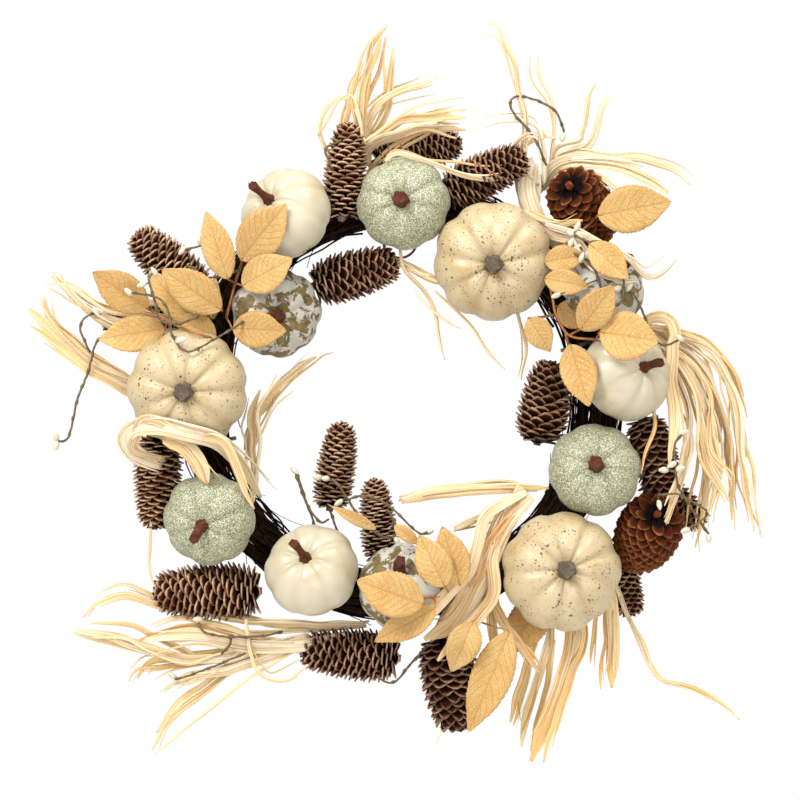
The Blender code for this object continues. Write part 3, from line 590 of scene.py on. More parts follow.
def make_pumpkin(node, seed):
    """Ribbed pumpkin: uneven ribs between narrow valleys, a dimple at both poles, and its stem."""
    kind = node.split("_")[1]
    ribs, depth = RIBS[kind]
    centre, axis, radius, half_height = pumpkin_measures(node)
    chance = random.Random(seed)
    lean = [chance.uniform(-0.10, 0.10) for rib in range(ribs)]
    swell = [chance.uniform(-0.020, 0.014) for rib in range(ribs)]
    turn = chance.uniform(0.0, math.tau)
    body_bm = bmesh.new()
    bmesh.ops.create_uvsphere(body_bm, u_segments=ribs * POINTS_PER_RIB, v_segments=PUMPKIN_ROWS,
                              radius=1.0)
    painted_groove_shade_layer = body_bm.verts.layers.float.new("painted_groove_shade")
    for vert in body_bm.verts:
        across = min(1.0, math.hypot(vert.co.x, vert.co.y))
        angle = math.atan2(vert.co.y, vert.co.x) % math.tau
        share = angle / math.tau * ribs
        rib = int(share) % ribs
        inside = share - int(share)
        inside += lean[rib] * math.sin(math.pi * inside) ** 2
        valley = (0.5 + 0.5 * math.cos(math.tau * inside)) ** 2.6
        body = math.sin(math.pi * inside)
        side = 1.0 if vert.co.z >= 0.0 else -1.0
        dome = math.sqrt(max(0.0, 1.0 - across ** 2.5))
        dimple = DIMPLE_DEPTH * math.exp(-(across / DIMPLE_WIDTH) ** 2)
        crown = math.sin(math.pi * min(1.0, across)) ** 0.8 if across < 1.0 else 0.0
        height = dome - dimple - 1.3 * depth * valley * crown * (0.55 + 0.45 * dome)
        reach = 1.0 - depth * valley * min(1.0, across * 1.6) + swell[rib] * body
        ripple = 0.006 * noise.noise(Vector((vert.co.x * 3 + seed, vert.co.y * 3, vert.co.z * 3)))
        near_pole = 0.7 * math.exp(-(across / 0.2) ** 2)
        # mask of painted shade: strong in the grooves between the ribs and round the dimples at the poles
        vert[painted_groove_shade_layer] = min(1.0, valley * min(1.0, 0.25 + across * 1.5) + near_pole)
        vert.co.x *= radius * (reach + ripple)
        vert.co.y *= radius * (reach + ripple)
        vert.co.z = side * half_height * height
    bmesh.ops.rotate(body_bm, verts=body_bm.verts, cent=(0, 0, 0), matrix=Matrix.Rotation(turn, 3, "Z"))
    body_bm.transform(turned_to(axis, centre))
    name = node.replace("pumpkin", "painted_pumpkin")
    make_piece(name, body_bm, PAINTS[kind], (node,))
    make_stem(node, kind, centre, axis, half_height)


# ---- stems ----
# clock angle (degrees) that a bent stem leans to
LEANS = {"pumpkin_ivory_upper_left": 138, "pumpkin_ivory_right": 12, "pumpkin_ivory_lower_left": 137,
         "pumpkin_sage_left": 245, "pumpkin_mottled_right": 45, "pumpkin_mottled_bottom": 60}
USUAL_LEAN = 150
# kind, or one pumpkin: length, radius at the foot, waist and end (mm), sideways bend (mm), finish
STEMS = {
    "speckled": (13.0, 8.4, 6.6, 5.6, 0.6, STEM_GREY),
    "sage": (14.0, 7.2, 5.2, 4.8, 1.8, STEM_RED),
    "ivory": (20.0, 8.0, 2.3, 3.4, 8.0, STEM_RED),
    "mottled": (15.0, 7.0, 4.2, 4.2, 4.0, STEM_RED),
    "pumpkin_sage_left": (15.0, 8.4, 3.4, 3.2, 8.0, STEM_RED),
    "pumpkin_ivory_right": (16.0, 8.4, 2.6, 3.4, 7.0, STEM_RED),
}
STEM_RIDGES = 5
POINTS_ROUND_STEM = 30
STEM_CUTS = 13                 # rows of points between a stem's foot and its end
IVORY_DROOP = 1.4              # how far the bent ivory stems' ends come down, mm
STEM_SEAT = 0.80               # where a stem's foot starts, as a share of the half height
STEM_SUNK = 0.0018             # and how far it is pushed in from there, m


def make_stem(node, kind, centre, axis, half_height):
    """Ribbed moulded stem: flared foot in the dimple, narrow waist, blunt cut end."""
    length, foot, waist, end, bend, finish = STEMS.get(node, STEMS[kind])
    droop = IVORY_DROOP if kind == "ivory" else 0.0
    stem_bm = bmesh.new()
    bmesh.ops.create_cone(stem_bm, cap_ends=True, segments=POINTS_ROUND_STEM, radius1=1.0, radius2=1.0,
                          depth=1.0)
    uprights = [edge for edge in stem_bm.edges if abs(edge.verts[0].co.z - edge.verts[1].co.z) > 0.5]
    bmesh.ops.subdivide_edges(stem_bm, edges=uprights, cuts=STEM_CUTS)
    for cap in (1.0, -1.0):
        faces = [face for face in stem_bm.faces if face.normal.z * cap > 0.9]
        bmesh.ops.inset_individual(stem_bm, faces=faces, thickness=0.28, depth=0.0)
    uv_layer = stem_bm.loops.layers.uv.new("UVMap")
    for face in stem_bm.faces:
        angles = [math.atan2(loop.vert.co.y, loop.vert.co.x) / math.tau % 1.0 for loop in face.loops]
        wrap = max(angles) - min(angles) > 0.5
        for loop, angle in zip(face.loops, angles):
            loop[uv_layer].uv = (angle + 1.0 if wrap and angle < 0.5 else angle, loop.vert.co.z + 0.5)
    way = axis.to_track_quat("Z", "Y").inverted() @ heading(math.radians(LEANS.get(node, USUAL_LEAN)))
    bend_way = math.atan2(way.y, way.x)
    for vert in stem_bm.verts:
        t = vert.co.z + 0.5
        angle = math.atan2(vert.co.y, vert.co.x)
        share = math.hypot(vert.co.x, vert.co.y)
        width = waist + (foot - waist) * math.exp(-t / 0.16)
        width += (end - waist) * max(0.0, (t - 0.6) / 0.4) ** 1.5
        rib = 1.0 + 0.10 * math.cos(STEM_RIDGES * (angle + 0.5 * t))
        rib += 0.04 * math.cos(3 * STEM_RIDGES * angle + 2.0)
        vert.co.x = share * rib * width * math.cos(angle) + bend * t * t * math.cos(bend_way)
        vert.co.y = share * rib * width * math.sin(angle) + bend * t * t * math.sin(bend_way)
        dish = -0.9 * (1.0 - share) if t > 0.99 else 0.0
        vert.co.z = t * length + dish - droop * t * t
    stem_bm.transform(Matrix.Scale(MM, 4))
    stem_bm.transform(turned_to(axis, centre + axis * (half_height * STEM_SEAT - STEM_SUNK)))
    rim = [edge for edge in stem_bm.edges if edge.calc_face_angle(0.0) > 1.0]
    bmesh.ops.bevel(stem_bm, geom=rim, offset=0.0004, segments=2, profile=0.5, affect="EDGES", material=-1)
    stem = node.replace("pumpkin", "stem")
    make_piece(stem.replace("stem", "moulded_stem"), stem_bm, finish, (stem,))


# ---- cones ----
# how far up the cone, and its width there as a share of the widest
CONE_OUTLINE = ((0.0, 0.70), (0.08, 0.92), (0.24, 1.0), (0.46, 0.98), (0.66, 0.90), (0.86, 0.72),
                (0.94, 0.50), (1.0, 0.10))
DARK_CONES = ("cone_inner_top", "cone_inner_right", "cone_right", "cone_far_right", "cone_small_right",
              "cone_bottom", "cone_bottom_right", "cone_left", "cone_top", "cone_top_right")
RED_CONES = ("cone_upper_right", "cone_lower_right")
TURNED_CONES = ("cone_inner_top", "cone_bottom_right")      # with the tip at their thicker end
SCALES_PAST_LENGTH = 1.03      # how much the open scales add to the solid cone's length and radius
SCALES_PAST_RADIUS = 1.15
FEWEST_SCALES = 44             # a cone's scales are so many, and more for each metre of its length
SCALES_PER_METRE = 1650
# how far up the cone, and a scale's angle from the axis (degrees) or its length as a share of the width
SCALE_OPENING = ((0.0, 112), (0.06, 84), (0.22, 60), (0.7, 54), (0.88, 38), (1.0, 8))
SCALE_REACH = ((0.0, 0.98), (0.07, 0.90), (0.12, 0.60))
SCALE_DEPTH = 0.0088           # what a scale's own relief and thickness are measured by, m
CORE = 0.50                    # width of the solid middle, as a share of the cone's


def along(outline, share):
    """Value of an outline of (place, value) points at a place from 0 to 1."""
    return float(np.interp(share, *zip(*outline)))


def cone_width(share):
    return along(CONE_OUTLINE, share)


def scale_mesh():
    """One woody scale: root at the origin, rounded tip along +X, outer face to +Z, 1 long and 1 wide."""
    scale_bm = bmesh.new()
    for vert in bmesh.ops.create_grid(scale_bm, x_segments=4, y_segments=4, size=0.5)["verts"]:
        t, side = vert.co.x + 0.5, 2.0 * vert.co.y
        half = 0.5 * (0.34 + 0.66 * math.sin(0.5 * math.pi * min(1.0, 1.25 * t)))
        half *= 1.0 - 0.16 * max(0.0, (t - 0.75) / 0.25)
        vert.co.y = side * half
        vert.co.x = t - 0.26 * side * side * t * t
        vert.co.z = -0.16 * side * side * t + 0.10 * t * t
    bmesh.ops.solidify(scale_bm, geom=scale_bm.faces[:], thickness=0.12)
    uv_layer = scale_bm.loops.layers.uv.new("UVMap")
    for face in scale_bm.faces:
        for loop in face.loops:
            side = loop.vert.co.y
            loop[uv_layer].uv = (side + 0.5, loop.vert.co.x + 1.2 * side * side)
    mesh = bpy.data.meshes.new("scale_pattern")
    scale_bm.to_mesh(mesh)
    scale_bm.free()
    return mesh


def make_cone(node, pattern, seed):
    """Pine cone: scales set by the golden angle from butt to tip, a solid core and a stub of stalk."""
    centre, axis, length, radius = cone_measures(node)
    chance = random.Random(seed)
    cone_bm = bmesh.new()
    tight, closed = node in RED_CONES, node in DARK_CONES
    count = int((FEWEST_SCALES + SCALES_PER_METRE * length) * (1.4 if tight else 1.0))
    looseness = chance.uniform(-6.0, 8.0) - (13.0 if closed else 8.0 if tight else 0.0)
    for number in range(count):
        t = ((number + 0.5) / count) ** 0.92
        angle = number * GOLDEN_ANGLE + chance.uniform(-0.06, 0.06)
        width = radius * cone_width(t)
        open_angle = math.radians(along(SCALE_OPENING, t) + looseness + chance.uniform(-7, 7))
        reach = along(SCALE_REACH, t) * width / max(0.5, math.sin(open_angle))
        scale_length = max(0.0045, reach * chance.uniform(0.93, 1.04))
        scale_width = (0.0014 + 0.58 * width) * chance.uniform(0.90, 1.08) * (0.82 if tight else 1.0)
        root = max(0.0006, width - scale_length * math.sin(open_angle) * 0.98)
        height = (t - 0.5) * length * 0.97 - scale_length * math.cos(open_angle) * 0.62
        start = len(cone_bm.verts)
        cone_bm.from_mesh(pattern)
        cone_bm.verts.ensure_lookup_table()
        size = Matrix.Diagonal((scale_length, scale_width, SCALE_DEPTH, 1.0))
        tilt = Matrix.Rotation(-(math.pi / 2 - open_angle), 4, "Y")
        stand = Matrix.Rotation(angle, 4, "Z") @ Matrix.Translation((root, 0.0, height))
        place = stand @ tilt @ Matrix.Rotation(math.pi, 4, "X") @ size
        bmesh.ops.transform(cone_bm, matrix=place, verts=cone_bm.verts[start:])
    for vert in bmesh.ops.create_uvsphere(cone_bm, u_segments=14, v_segments=12, radius=1.0)["verts"]:
        share = 0.5 + 0.5 * vert.co.z
        core = CORE * radius * cone_width(share)
        vert.co = Vector((vert.co.x * core, vert.co.y * core, (share - 0.5) * length * 0.90))
    stub = bmesh.ops.create_cone(cone_bm, cap_ends=True, segments=10, radius1=0.0026, radius2=0.0034,
                                 depth=0.006)["verts"]
    bmesh.ops.translate(cone_bm, verts=stub, vec=(0.0, 0.0, -0.47 * length))
    uv_layer = cone_bm.loops.layers.uv.active
    for face in {face for vert in stub for face in vert.link_faces}:
        for loop in face.loops:
            loop[uv_layer].uv = (0.5, 0.93)
    bmesh.ops.recalc_face_normals(cone_bm, faces=cone_bm.faces)
    cone_bm.transform(turned_to(axis, centre))
    finish = CONE_RED if tight else CONE_DARK if closed else CONE_BROWN
    make_piece(node.replace("cone", "pine_cone"), cone_bm, finish, (node,))


# ---- twig ring ----
def ring_place(angle, offset, turn):
    """World point at an offset (mm) from the ring's centre line, turned round that line."""
    reach = RING_RADIUS + offset * math.cos(turn)
    return world(reach * math.cos(angle), reach * math.sin(angle), offset * math.sin(turn))


THICK_TWIGS = 72
FINE_TWIGS = 360
TWIG_STEPS = 36                # straight parts of a thick twig
LOOSE_TWIGS = 0.30             # share of the fine twigs whose end springs loose


def make_twigs():
    """Several hundred twigs wound round the hoop, thick ones inside and fine ones over them."""
    chance = random.Random(11)
    strands = [[], [], []]
    for number in range(THICK_TWIGS):
        turn, offset = chance.uniform(0.0, math.tau), BUNDLE_RADIUS * math.sqrt(chance.uniform(0.02, 0.62))
        start, span = chance.uniform(0.0, math.tau), chance.uniform(1.6, 2.8)
        thick = chance.uniform(1.6, 2.8)
        points, radii = [], []
        for step in range(TWIG_STEPS + 1):
            angle = start + span * step / TWIG_STEPS
            points.append(ring_place(angle, offset + math.sin(0.7 * step + turn), turn + 0.07 * step))
            radii.append(thick * (0.6 + 0.4 * math.sin(math.pi * step / TWIG_STEPS)))
        strands[number % 3].append((points, radii, False))
    for number in range(FINE_TWIGS):
        start = chance.uniform(0.0, math.tau)
        span = chance.uniform(0.5, 1.9)
        turn = chance.uniform(0.0, math.tau)
        twist = chance.uniform(1.2, 3.4) * chance.choice((1, 1, 1, -1))
        offset = BUNDLE_RADIUS * math.sqrt(chance.uniform(0.12, 0.98))
        thick = chance.uniform(0.4, 1.2)
        wave = chance.uniform(0.0, math.tau)
        loose = chance.random() < LOOSE_TWIGS
        points = []
        steps = int(10 + 9 * span)
        for step in range(steps + 1):
            t = step / steps
            angle = start + span * t
            reach = offset + 1.2 * math.sin(wave + 9.0 * t) + 0.7 * math.sin(2.3 * wave + 23.0 * t)
            if loose:
                reach += 13.0 * max(0.0, (t - 0.72) / 0.28) ** 1.6
            points.append(ring_place(angle, reach, turn + twist * t + 0.1 * math.sin(17 * t + wave)))
        radii = [thick * (1.0 - 0.6 * step / steps) for step in range(steps + 1)]
        strands[number % 3].append((points, radii, False))
    for number, runs in enumerate(strands):
        wires(f"twig_bundle_{number + 1}", runs, TWIG, (f"twig_strand_{number + 1}",),
              roundness=0)


POINTS_PER_TURN = 40
HOOP_POINTS = 90
EYE_POINTS = 24
LOOP_STEPS = 24                # straight parts of the hanging loop's round end
LOOP_CORNER = 0.30             # how far its top corners are cut, as a share of its width


def ring_wire(angle, offset, thickness, turns):
    """Wire wound round the bundle at a clock angle (degrees): one closed turn, or several side by side."""
    points = []
    count = POINTS_PER_TURN * turns
    for step in range(count):
        turn = step * math.tau / POINTS_PER_TURN
        points.append(ring_place(math.radians(angle) + 0.006 * (step / count - 0.5) * turns, offset, turn))
    return (points, [thickness] * count, turns == 1)


def make_wire_work():
    """The hoop, the two binding wires, the hanger's band with its eye, and the hinged hanging loop."""
    hoop = [ring_place(step * math.tau / HOOP_POINTS, 0.0, 0.0) for step in range(HOOP_POINTS)]
    wires("steel_hoop", [(hoop, [HOOP_WIRE] * HOOP_POINTS, True)], WIRE, ("hoop_wire",))
    for node in ("binding_wire_left", "binding_wire_right"):
        low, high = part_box(node)
        middle = (low + high) * 0.5 - RING_MIDDLE
        angle = math.degrees(math.atan2(middle.z, middle.x))
        run = ring_wire(angle, BUNDLE_RADIUS + BINDING_GAP, BINDING_WIRE, 3)
        wires(node.replace("wire", "wire_turns"), [run], WIRE, (node,))
    anchor_low, anchor_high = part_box("hanger_anchor")
    band = (anchor_high.z - anchor_low.z) * 0.5 / MM - LOOP_WIRE
    eye_radius = anchor_high.y / MM - LOOP_WIRE
    eye = []
    for step in range(EYE_POINTS):
        angle = step * math.tau / EYE_POINTS
        eye.append(Vector((0.0, eye_radius * MM * math.sin(angle), eye_radius * MM * math.cos(angle))))
    runs = [ring_wire(90.0, band, LOOP_WIRE, 1), (eye, [LOOP_WIRE] * EYE_POINTS, True)]
    wires("hanger_band_and_eye", runs, WIRE, ("hanger_anchor",), roundness=3)
    low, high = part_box("hanger_loop")
    half = (high.x - low.x) * 0.5 - LOOP_WIRE * MM
    bend = LOOP_CORNER * 2 * half
    centre_z = low.z + LOOP_WIRE * MM + half
    points = [Vector((-half + bend, 0, 0)), Vector((0, 0, 0)), Vector((half - bend, 0, 0)),
              Vector((half - 0.3 * bend, 0, -0.3 * bend)), Vector((half, 0, -bend))]
    for step in range(LOOP_STEPS + 1):
        angle = -step * math.pi / LOOP_STEPS
        points.append(Vector((half * math.cos(angle), 0.0, centre_z + half * math.sin(angle))))
    points += [Vector((-half, 0, -bend)), Vector((-half + 0.3 * bend, 0, -0.3 * bend))]
    runs = [(points, [LOOP_WIRE] * len(points), True)]
    wires("hanging_loop", runs, WIRE, ("hanger_loop",), "hanger", roundness=3)


# ---- raffia and husk strips ----
# bunch: strips as width (mm), front at the root and at the tip (mm), laid over what is below it or not,
# how many thinner strips run beside it, then way points (mm) from root to tip
BUNCHES = {
    "raffia_top": (
        (3, 26, 40, False, 1, (-36, 158), (-59, 196), (-59, 211), (-49, 227), (-38, 228), (-32, 215),
         (-26, 192)),
        (6, 26, 45, False, 3, (-29, 173), (-30, 218), (-23, 248), (-14, 273)),
        (6, 24, 20, False, 3, (-24, 177), (-23, 196), (-11, 218), (-4, 269)),
        (7, 26, 55, False, 3, (-41, 169), (-38, 184), (-19, 199), (8, 211), (49, 212)),
        (6, 26, 40, False, 2, (-34, 175), (-19, 194), (15, 205), (49, 203)),
        (5, 24, 30, False, 2, (-38, 177), (-30, 203), (-11, 228), (29, 243)),
        (5, 24, 34, False, 1, (-26, 167), (-19, 177), (0, 196), (30, 209)),
        (4, 36, 40, True, 1, (-11, 177), (0, 182), (30, 173), (60, 167), (86, 165)),
        (4, 24, 10, False, 2, (-34, 160), (-44, 200), (-36, 236), (-27, 258)),
    ),
    "raffia_upper_right": (
        (4, 30, 55, False, 1, (105, 162), (94, 177), (96, 203), (90, 230), (83, 256), (73, 279), (64, 281)),
        (3, 24, 30, False, 1, (113, 166), (117, 218), (105, 245), (104, 262)),
        (3, 30, 46, False, 1, (109, 162), (109, 173), (108, 188), (102, 207), (75, 208), (63, 205)),
        (6, 24, 40, False, 2, (109, 164), (120, 184), (136, 188), (143, 194), (151, 218), (159, 231)),
        (10, 22, 62, False, 2, (105, 158), (120, 177), (150, 177), (180, 167), (199, 154)),
        (6, 22, 50, False, 1, (109, 161), (124, 171), (143, 169), (164, 156)),
        (4, 60, 40, True, 1, (108, 131), (131, 123), (164, 108), (179, 96), (191, 93), (206, 105)),
        (4, 60, 50, True, 1, (120, 129), (131, 123), (142, 105), (158, 90), (176, 88)),
        (12, 30, 40, False, 2, (99, 179), (96, 157), (105, 131), (120, 120), (142, 121)),
        (9, 40, 60, False, 1, (93, 138), (114, 123), (133, 120)),
        (6, 24, 36, False, 2, (92, 150), (90, 186), (104, 200), (118, 196)),
    ),
    "raffia_right": (
        (9, 30, 62, False, 1, (180, 56), (192, 62), (203, 60), (208, 49), (204, 38), (203, 15), (206, -15),
         (200, -49)),
        (5, 28, 40, False, 5, (184, 56), (210, 49), (237, 34), (252, 0), (254, -30), (259, -60),
         (266, -100)),
        (5, 24, 20, False, 5, (188, 53), (218, 38), (237, 8), (242, -23), (234, -53), (225, -111)),
        (6, 30, 55, False, 4, (188, 49), (214, 26), (225, 0), (229, -38), (244, -75)),
        (5, 26, 30, False, 4, (192, 49), (225, 23), (246, -23), (252, -90)),
        (5, 26, 60, False, 5, (192, 41), (210, 15), (218, -23), (210, -60), (195, -98)),
        (5, 24, 44, False, 5, (195, 45), (218, 15), (233, -23), (237, -60), (229, -90)),
        (5, 26, 16, False, 3, (192, 56), (229, 45), (252, 19), (257, -15)),
    ),
    "raffia_left": (
        (4, 30, 44, False, 3, (-168, 52), (-200, 50), (-228, 60), (-252, 84), (-262, 98)),
        (5, 30, 40, False, 2, (-160, 60), (-198, 66), (-228, 72), (-246, 86), (-258, 90)),
        (5, 36, 50, False, 2, (-150, 50), (-176, 70), (-196, 72), (-214, 64)),
        (11, 26, 44, False, 2, (-172, -8), (-203, 11), (-229, 23), (-255, 45), (-278, 68)),
        (5, 26, 34, False, 1, (-200, 10), (-218, 24), (-252, 49), (-263, 62), (-268, 78)),
        (4, 34, 24, False, 1, (-180, 52), (-195, 56), (-222, 64), (-244, 75), (-254, 86), (-257, 96)),
        (6, 24, 18, False, 2, (-175, 0), (-188, 4), (-225, 26), (-248, 38), (-270, 53)),
        (13, 30, 30, True, 1, (-178, -48), (-196, -40), (-203, -29), (-196, -21), (-180, -20), (-163, -22),
         (-137, -30), (-119, -48), (-105, -74)),
        (12, 40, 34, True, 0, (-174, -28), (-160, -33), (-150, -44), (-142, -62)),
        (6, 24, 30, False, 2, (-116, -38), (-113, -23), (-101, 0), (-75, 26), (-64, 32)),
        (5, 24, 20, False, 2, (-116, -45), (-109, -23), (-104, -4), (-86, 17)),
        (6, 30, 34, False, 2, (-112, -78), (-109, -53), (-111, -30), (-113, -15), (-104, 8)),
        (2, 40, 30, False, 0, (-185, -75), (-187, -91), (-189, -121), (-183, -143)),
    ),
    "raffia_bottom_left": (
        (6, 24, 30, False, 2, (-26, -169), (-75, -169), (-128, -165), (-173, -152)),
        (10, 30, 40, False, 3, (-45, -178), (-71, -184), (-113, -184), (-154, -177), (-192, -180)),
        (8, 28, 44, False, 3, (-70, -178), (-143, -195), (-173, -192), (-210, -180), (-242, -173)),
        (7, 28, 30, False, 3, (-70, -182), (-105, -192), (-139, -210), (-169, -233), (-184, -252)),
        (6, 26, 20, False, 2, (-80, -182), (-158, -195), (-188, -199), (-199, -210)),
        (5, 22, 30, False, 2, (-95, -170), (-173, -158), (-207, -148), (-229, -154), (-239, -164)),
        (4, 22, 16, False, 1, (-105, -166), (-158, -154), (-184, -150), (-210, -140)),
        (3, 36, 50, False, 1, (-116, -165), (-113, -188), (-101, -207), (-86, -210), (-68, -199)),
        (6, 28, 36, False, 2, (-75, -184), (-113, -199), (-161, -210), (-180, -218)),
    ),
    "raffia_bottom_right": (
        (17, 60, 60, True, 2, (96, -70), (77, -88), (66, -118), (55, -140), (40, -165), (18, -178)),
        (13, 60, 60, True, 1, (88, -76), (71, -103), (59, -129), (46, -147)),
        (6, 50, 50, False, 2, (64, -120), (75, -161), (105, -203)),
        (7, 46, 40, False, 1, (68, -143), (73, -203)),
        (7, 26, 36, False, 2, (113, -155), (113, -177), (101, -218), (92, -261)),
        (11, 28, 56, False, 2, (128, -155), (131, -180), (120, -218), (98, -270)),
        (10, 26, 40, False, 1, (158, -140), (159, -180), (159, -216)),
        (4, 24, 50, False, 1, (156, -125), (164, -143), (180, -184), (195, -210), (225, -218), (255, -238)),
        (3, 24, 20, False, 1, (150, -150), (145, -199)),
        (2, 30, 20, False, 0, (49, -205), (34, -244), (26, -261)),
        (6, 26, 24, False, 2, (109, -160), (90, -218), (84, -244)),
        (8, 40, 50, True, 2, (1, -76), (30, -71), (74, -67), (112, -66)),
        (5, 40, 50, True, 1, (41, -97), (60, -88), (74, -82), (97, -78)),
    ),
    "raffia_inner_top": (
        (3, 40, 30, False, 0, (0, 113), (4, 98), (23, 75), (28, 53), (34, 30)),
        (2, 40, 40, False, 0, (11, 83), (23, 68), (45, 53)),
        (2, 40, 36, False, 0, (26, 82), (50, 60), (64, 41), (79, 23)),
        (3, 40, 30, False, 1, (86, 72), (95, 38), (92, 15)),
        (6, 30, 50, False, 1, (-10, 108), (6, 100), (20, 92), (34, 86)),
    ),
}
STRIP_STEP = 3.2               # mm between cross rows of a ribbon
ACROSS_STEP = 1.4              # mm between its lengthwise rows
TORN_STEP = 6.5                # mm of a strip's width to each torn ribbon that lies along it
BROAD = 10                     # mm from which a strip is too stiff to waver much
STRIP_CLEAR = 1.6              # mm between a strip's middle and what it lies on
STRIP_THICKNESS = 0.00025      # m
# usual tone of each bunch's strips, 0 cream to 1 tan
TONES = {"raffia_top": 0.50, "raffia_upper_right": 0.22, "raffia_right": 0.42, "raffia_left": 0.38,
         "raffia_bottom_left": 0.35, "raffia_bottom_right": 0.55, "raffia_inner_top": 0.20}


def sideways(ahead):
    """The direction in the wreath's plane to the right of a direction, or +X where that runs to the front."""
    aside = ahead.cross(Vector((0.0, 0.0, 1.0)))
    return aside.normalized() if aside.length > 1e-6 else Vector((1.0, 0.0, 0.0))


def add_ribbon(bunch_bm, layers, path, width, chance, tone):
    """A thin ribbon with soft lengthwise folds along a path of (x, y, front) points in mm."""
    uv_layer, tone_layer = layers
    rows = len(path)
    rows_across = min(8, max(2, round(width / ACROSS_STEP)))
    verts = bmesh.ops.create_grid(bunch_bm, x_segments=rows_across, y_segments=rows - 1, size=0.5)["verts"]
    phase, along_phase = chance.uniform(0.0, 9.0), chance.uniform(0.0, 9.0)
    curl = chance.uniform(0.02, 0.08) * chance.choice((-1, 1))
    twist = chance.uniform(-0.5, 0.5)
    cover(verts, uv_layer, lambda flat: (phase + 0.1 * width * flat.x,
                                         along_phase + 0.01 * STRIP_STEP * rows * (flat.y + 0.5)))
    for vert in verts:
        side = 2.0 * vert.co.x
        t = vert.co.y + 0.5
        row = min(rows - 1, max(0, round(t * (rows - 1))))
        here = path[row]
        ahead = (path[min(rows - 1, row + 1)] - path[max(0, row - 1)]).normalized()
        aside = Quaternion(ahead, twist * (t - 0.3) + 0.25 * math.sin(7.0 * t + phase)) @ sideways(ahead)
        up = aside.cross(ahead)
        taper = min(1.0, 0.6 + 3.0 * t) * (1.0 - 0.8 * max(0.0, (t - 0.78) / 0.22) ** 1.4)
        pinch = noise.noise(Vector((phase, 0.045 * row, 0.6 * side)))
        half = 0.5 * width * taper * (1.0 + 0.45 * pinch)
        fold = 0.022 * width * noise.noise(Vector((1.3 * side * width / 4.0, 0.05 * row, phase)))
        spot = here + aside * (half * side) + up * (half * curl * (side * side - 0.4) + fold)
        vert.co = world(spot.x, spot.y, spot.z)
        vert[tone_layer] = min(1.0, max(0.0, tone + 0.2 * (t - 0.4) + 0.12 * side * math.sin(phase)))


def add_strip(bunch_bm, layers, path, width, chance, tone):
    """A husk strip: one broad ribbon and a few torn ribbons that lie along it and part at its tip."""
    add_ribbon(bunch_bm, layers, path, width, chance, tone)
    rows = len(path)
    for _ in range(round(width / TORN_STEP)):
        place = width * (chance.uniform(0.0, 1.0) - 0.5)
        wave, lift = chance.uniform(0.0, math.tau), chance.uniform(0.3, 1.2)
        first, last = int(rows * chance.uniform(0.0, 0.3)), rows - int(rows * chance.uniform(0.0, 0.15))
        shifted = []
        for row in range(first, last):
            t = row / (rows - 1)
            aside = sideways(path[min(rows - 1, row + 1)] - path[max(0, row - 1)])
            part = 1.0 + 1.6 * max(0.0, (t - 0.6) / 0.4) ** 2
            sway = 0.7 * math.sin(wave + 5.0 * t)
            raised = Vector((0.0, 0.0, lift * (1.0 + 3.0 * t * t)))
            shifted.append(path[row] + aside * (place * part + sway) + raised)
        if len(shifted) > 3:
            thin = chance.uniform(0.8, 2.2)
            add_ribbon(bunch_bm, layers, shifted, thin, chance, tone + chance.uniform(-0.2, 0.3))


def strip_path(way, low, high, over, width, chance):
    """Even points (x, y, front) in mm along a strip, with the slight kinks of dried husk."""
    flat = curve_through([Vector(point) for point in way], STRIP_STEP)
    count = len(flat)
    start, drift = chance.uniform(0.0, 50.0), 2.6 if width < BROAD else 1.2
    for number, point in enumerate(flat):
        loose = drift * min(1.0, number / 12.0)
        point.x += loose * noise.noise(Vector((start, 0.13 * number, 0.0)))
        point.y += loose * noise.noise(Vector((start, 0.13 * number, 7.0)))
    lows = [low + (high - low) * number / (count - 1) for number in range(count)]
    heights = laid_over(flat, lows, 0.4 * width, STRIP_CLEAR) if over else lows
    return [Vector((point.x, point.y, height)) for point, height in zip(flat, heights)]


def wandering(way, reach, chance):
    """A strip's way moved aside within a reach (mm), and further with each point, its tip drawn in."""
    shift = Vector((chance.uniform(-1, 1), chance.uniform(-1, 1))) * 0.35 * reach
    moved = []
    for point in way:
        moved.append(Vector(point) + shift)
        shift = shift + Vector((chance.uniform(-1, 1), chance.uniform(-1, 1))) * 0.62 * reach
    if len(moved) > 2:
        moved[-1] = moved[-2].lerp(moved[-1], chance.uniform(0.72, 1.02))
    return moved


def make_raffia():
    """The bunches: each chosen strip, then thinner ones that wander beside it."""
    for bunch_number, (bunch, strips) in enumerate(BUNCHES.items()):
        chance = random.Random(40 + bunch_number)
        bunch_bm = bmesh.new()
        layers = (bunch_bm.loops.layers.uv.new("UVMap"), bunch_bm.verts.layers.float.new("tone"))
        for width, low, high, over, beside, *way in strips:
            tone = TONES[bunch] + chance.uniform(-0.25, 0.25)
            path = strip_path(way, low, high, over, width, chance)
            add_strip(bunch_bm, layers, path, width, chance, tone)
            for _ in range(beside):
                moved = wandering(way, 0.9 * width + 3.0, chance)
                thin = max(1.2, width * chance.uniform(0.25, 0.62))
                root, tip = low + chance.uniform(-7, 5), high + chance.uniform(-14, 12)
                path = strip_path(moved, root, tip, over, thin, chance)
                add_strip(bunch_bm, layers, path, thin, chance, TONES[bunch] + chance.uniform(-0.35, 0.4))
        replaces = (bunch,) if bunch in frame["nodes"] else ()
        piece = make_piece(bunch.replace("raffia", "raffia_strips"), bunch_bm, RAFFIA, replaces)
        thicken(piece, STRIP_THICKNESS)


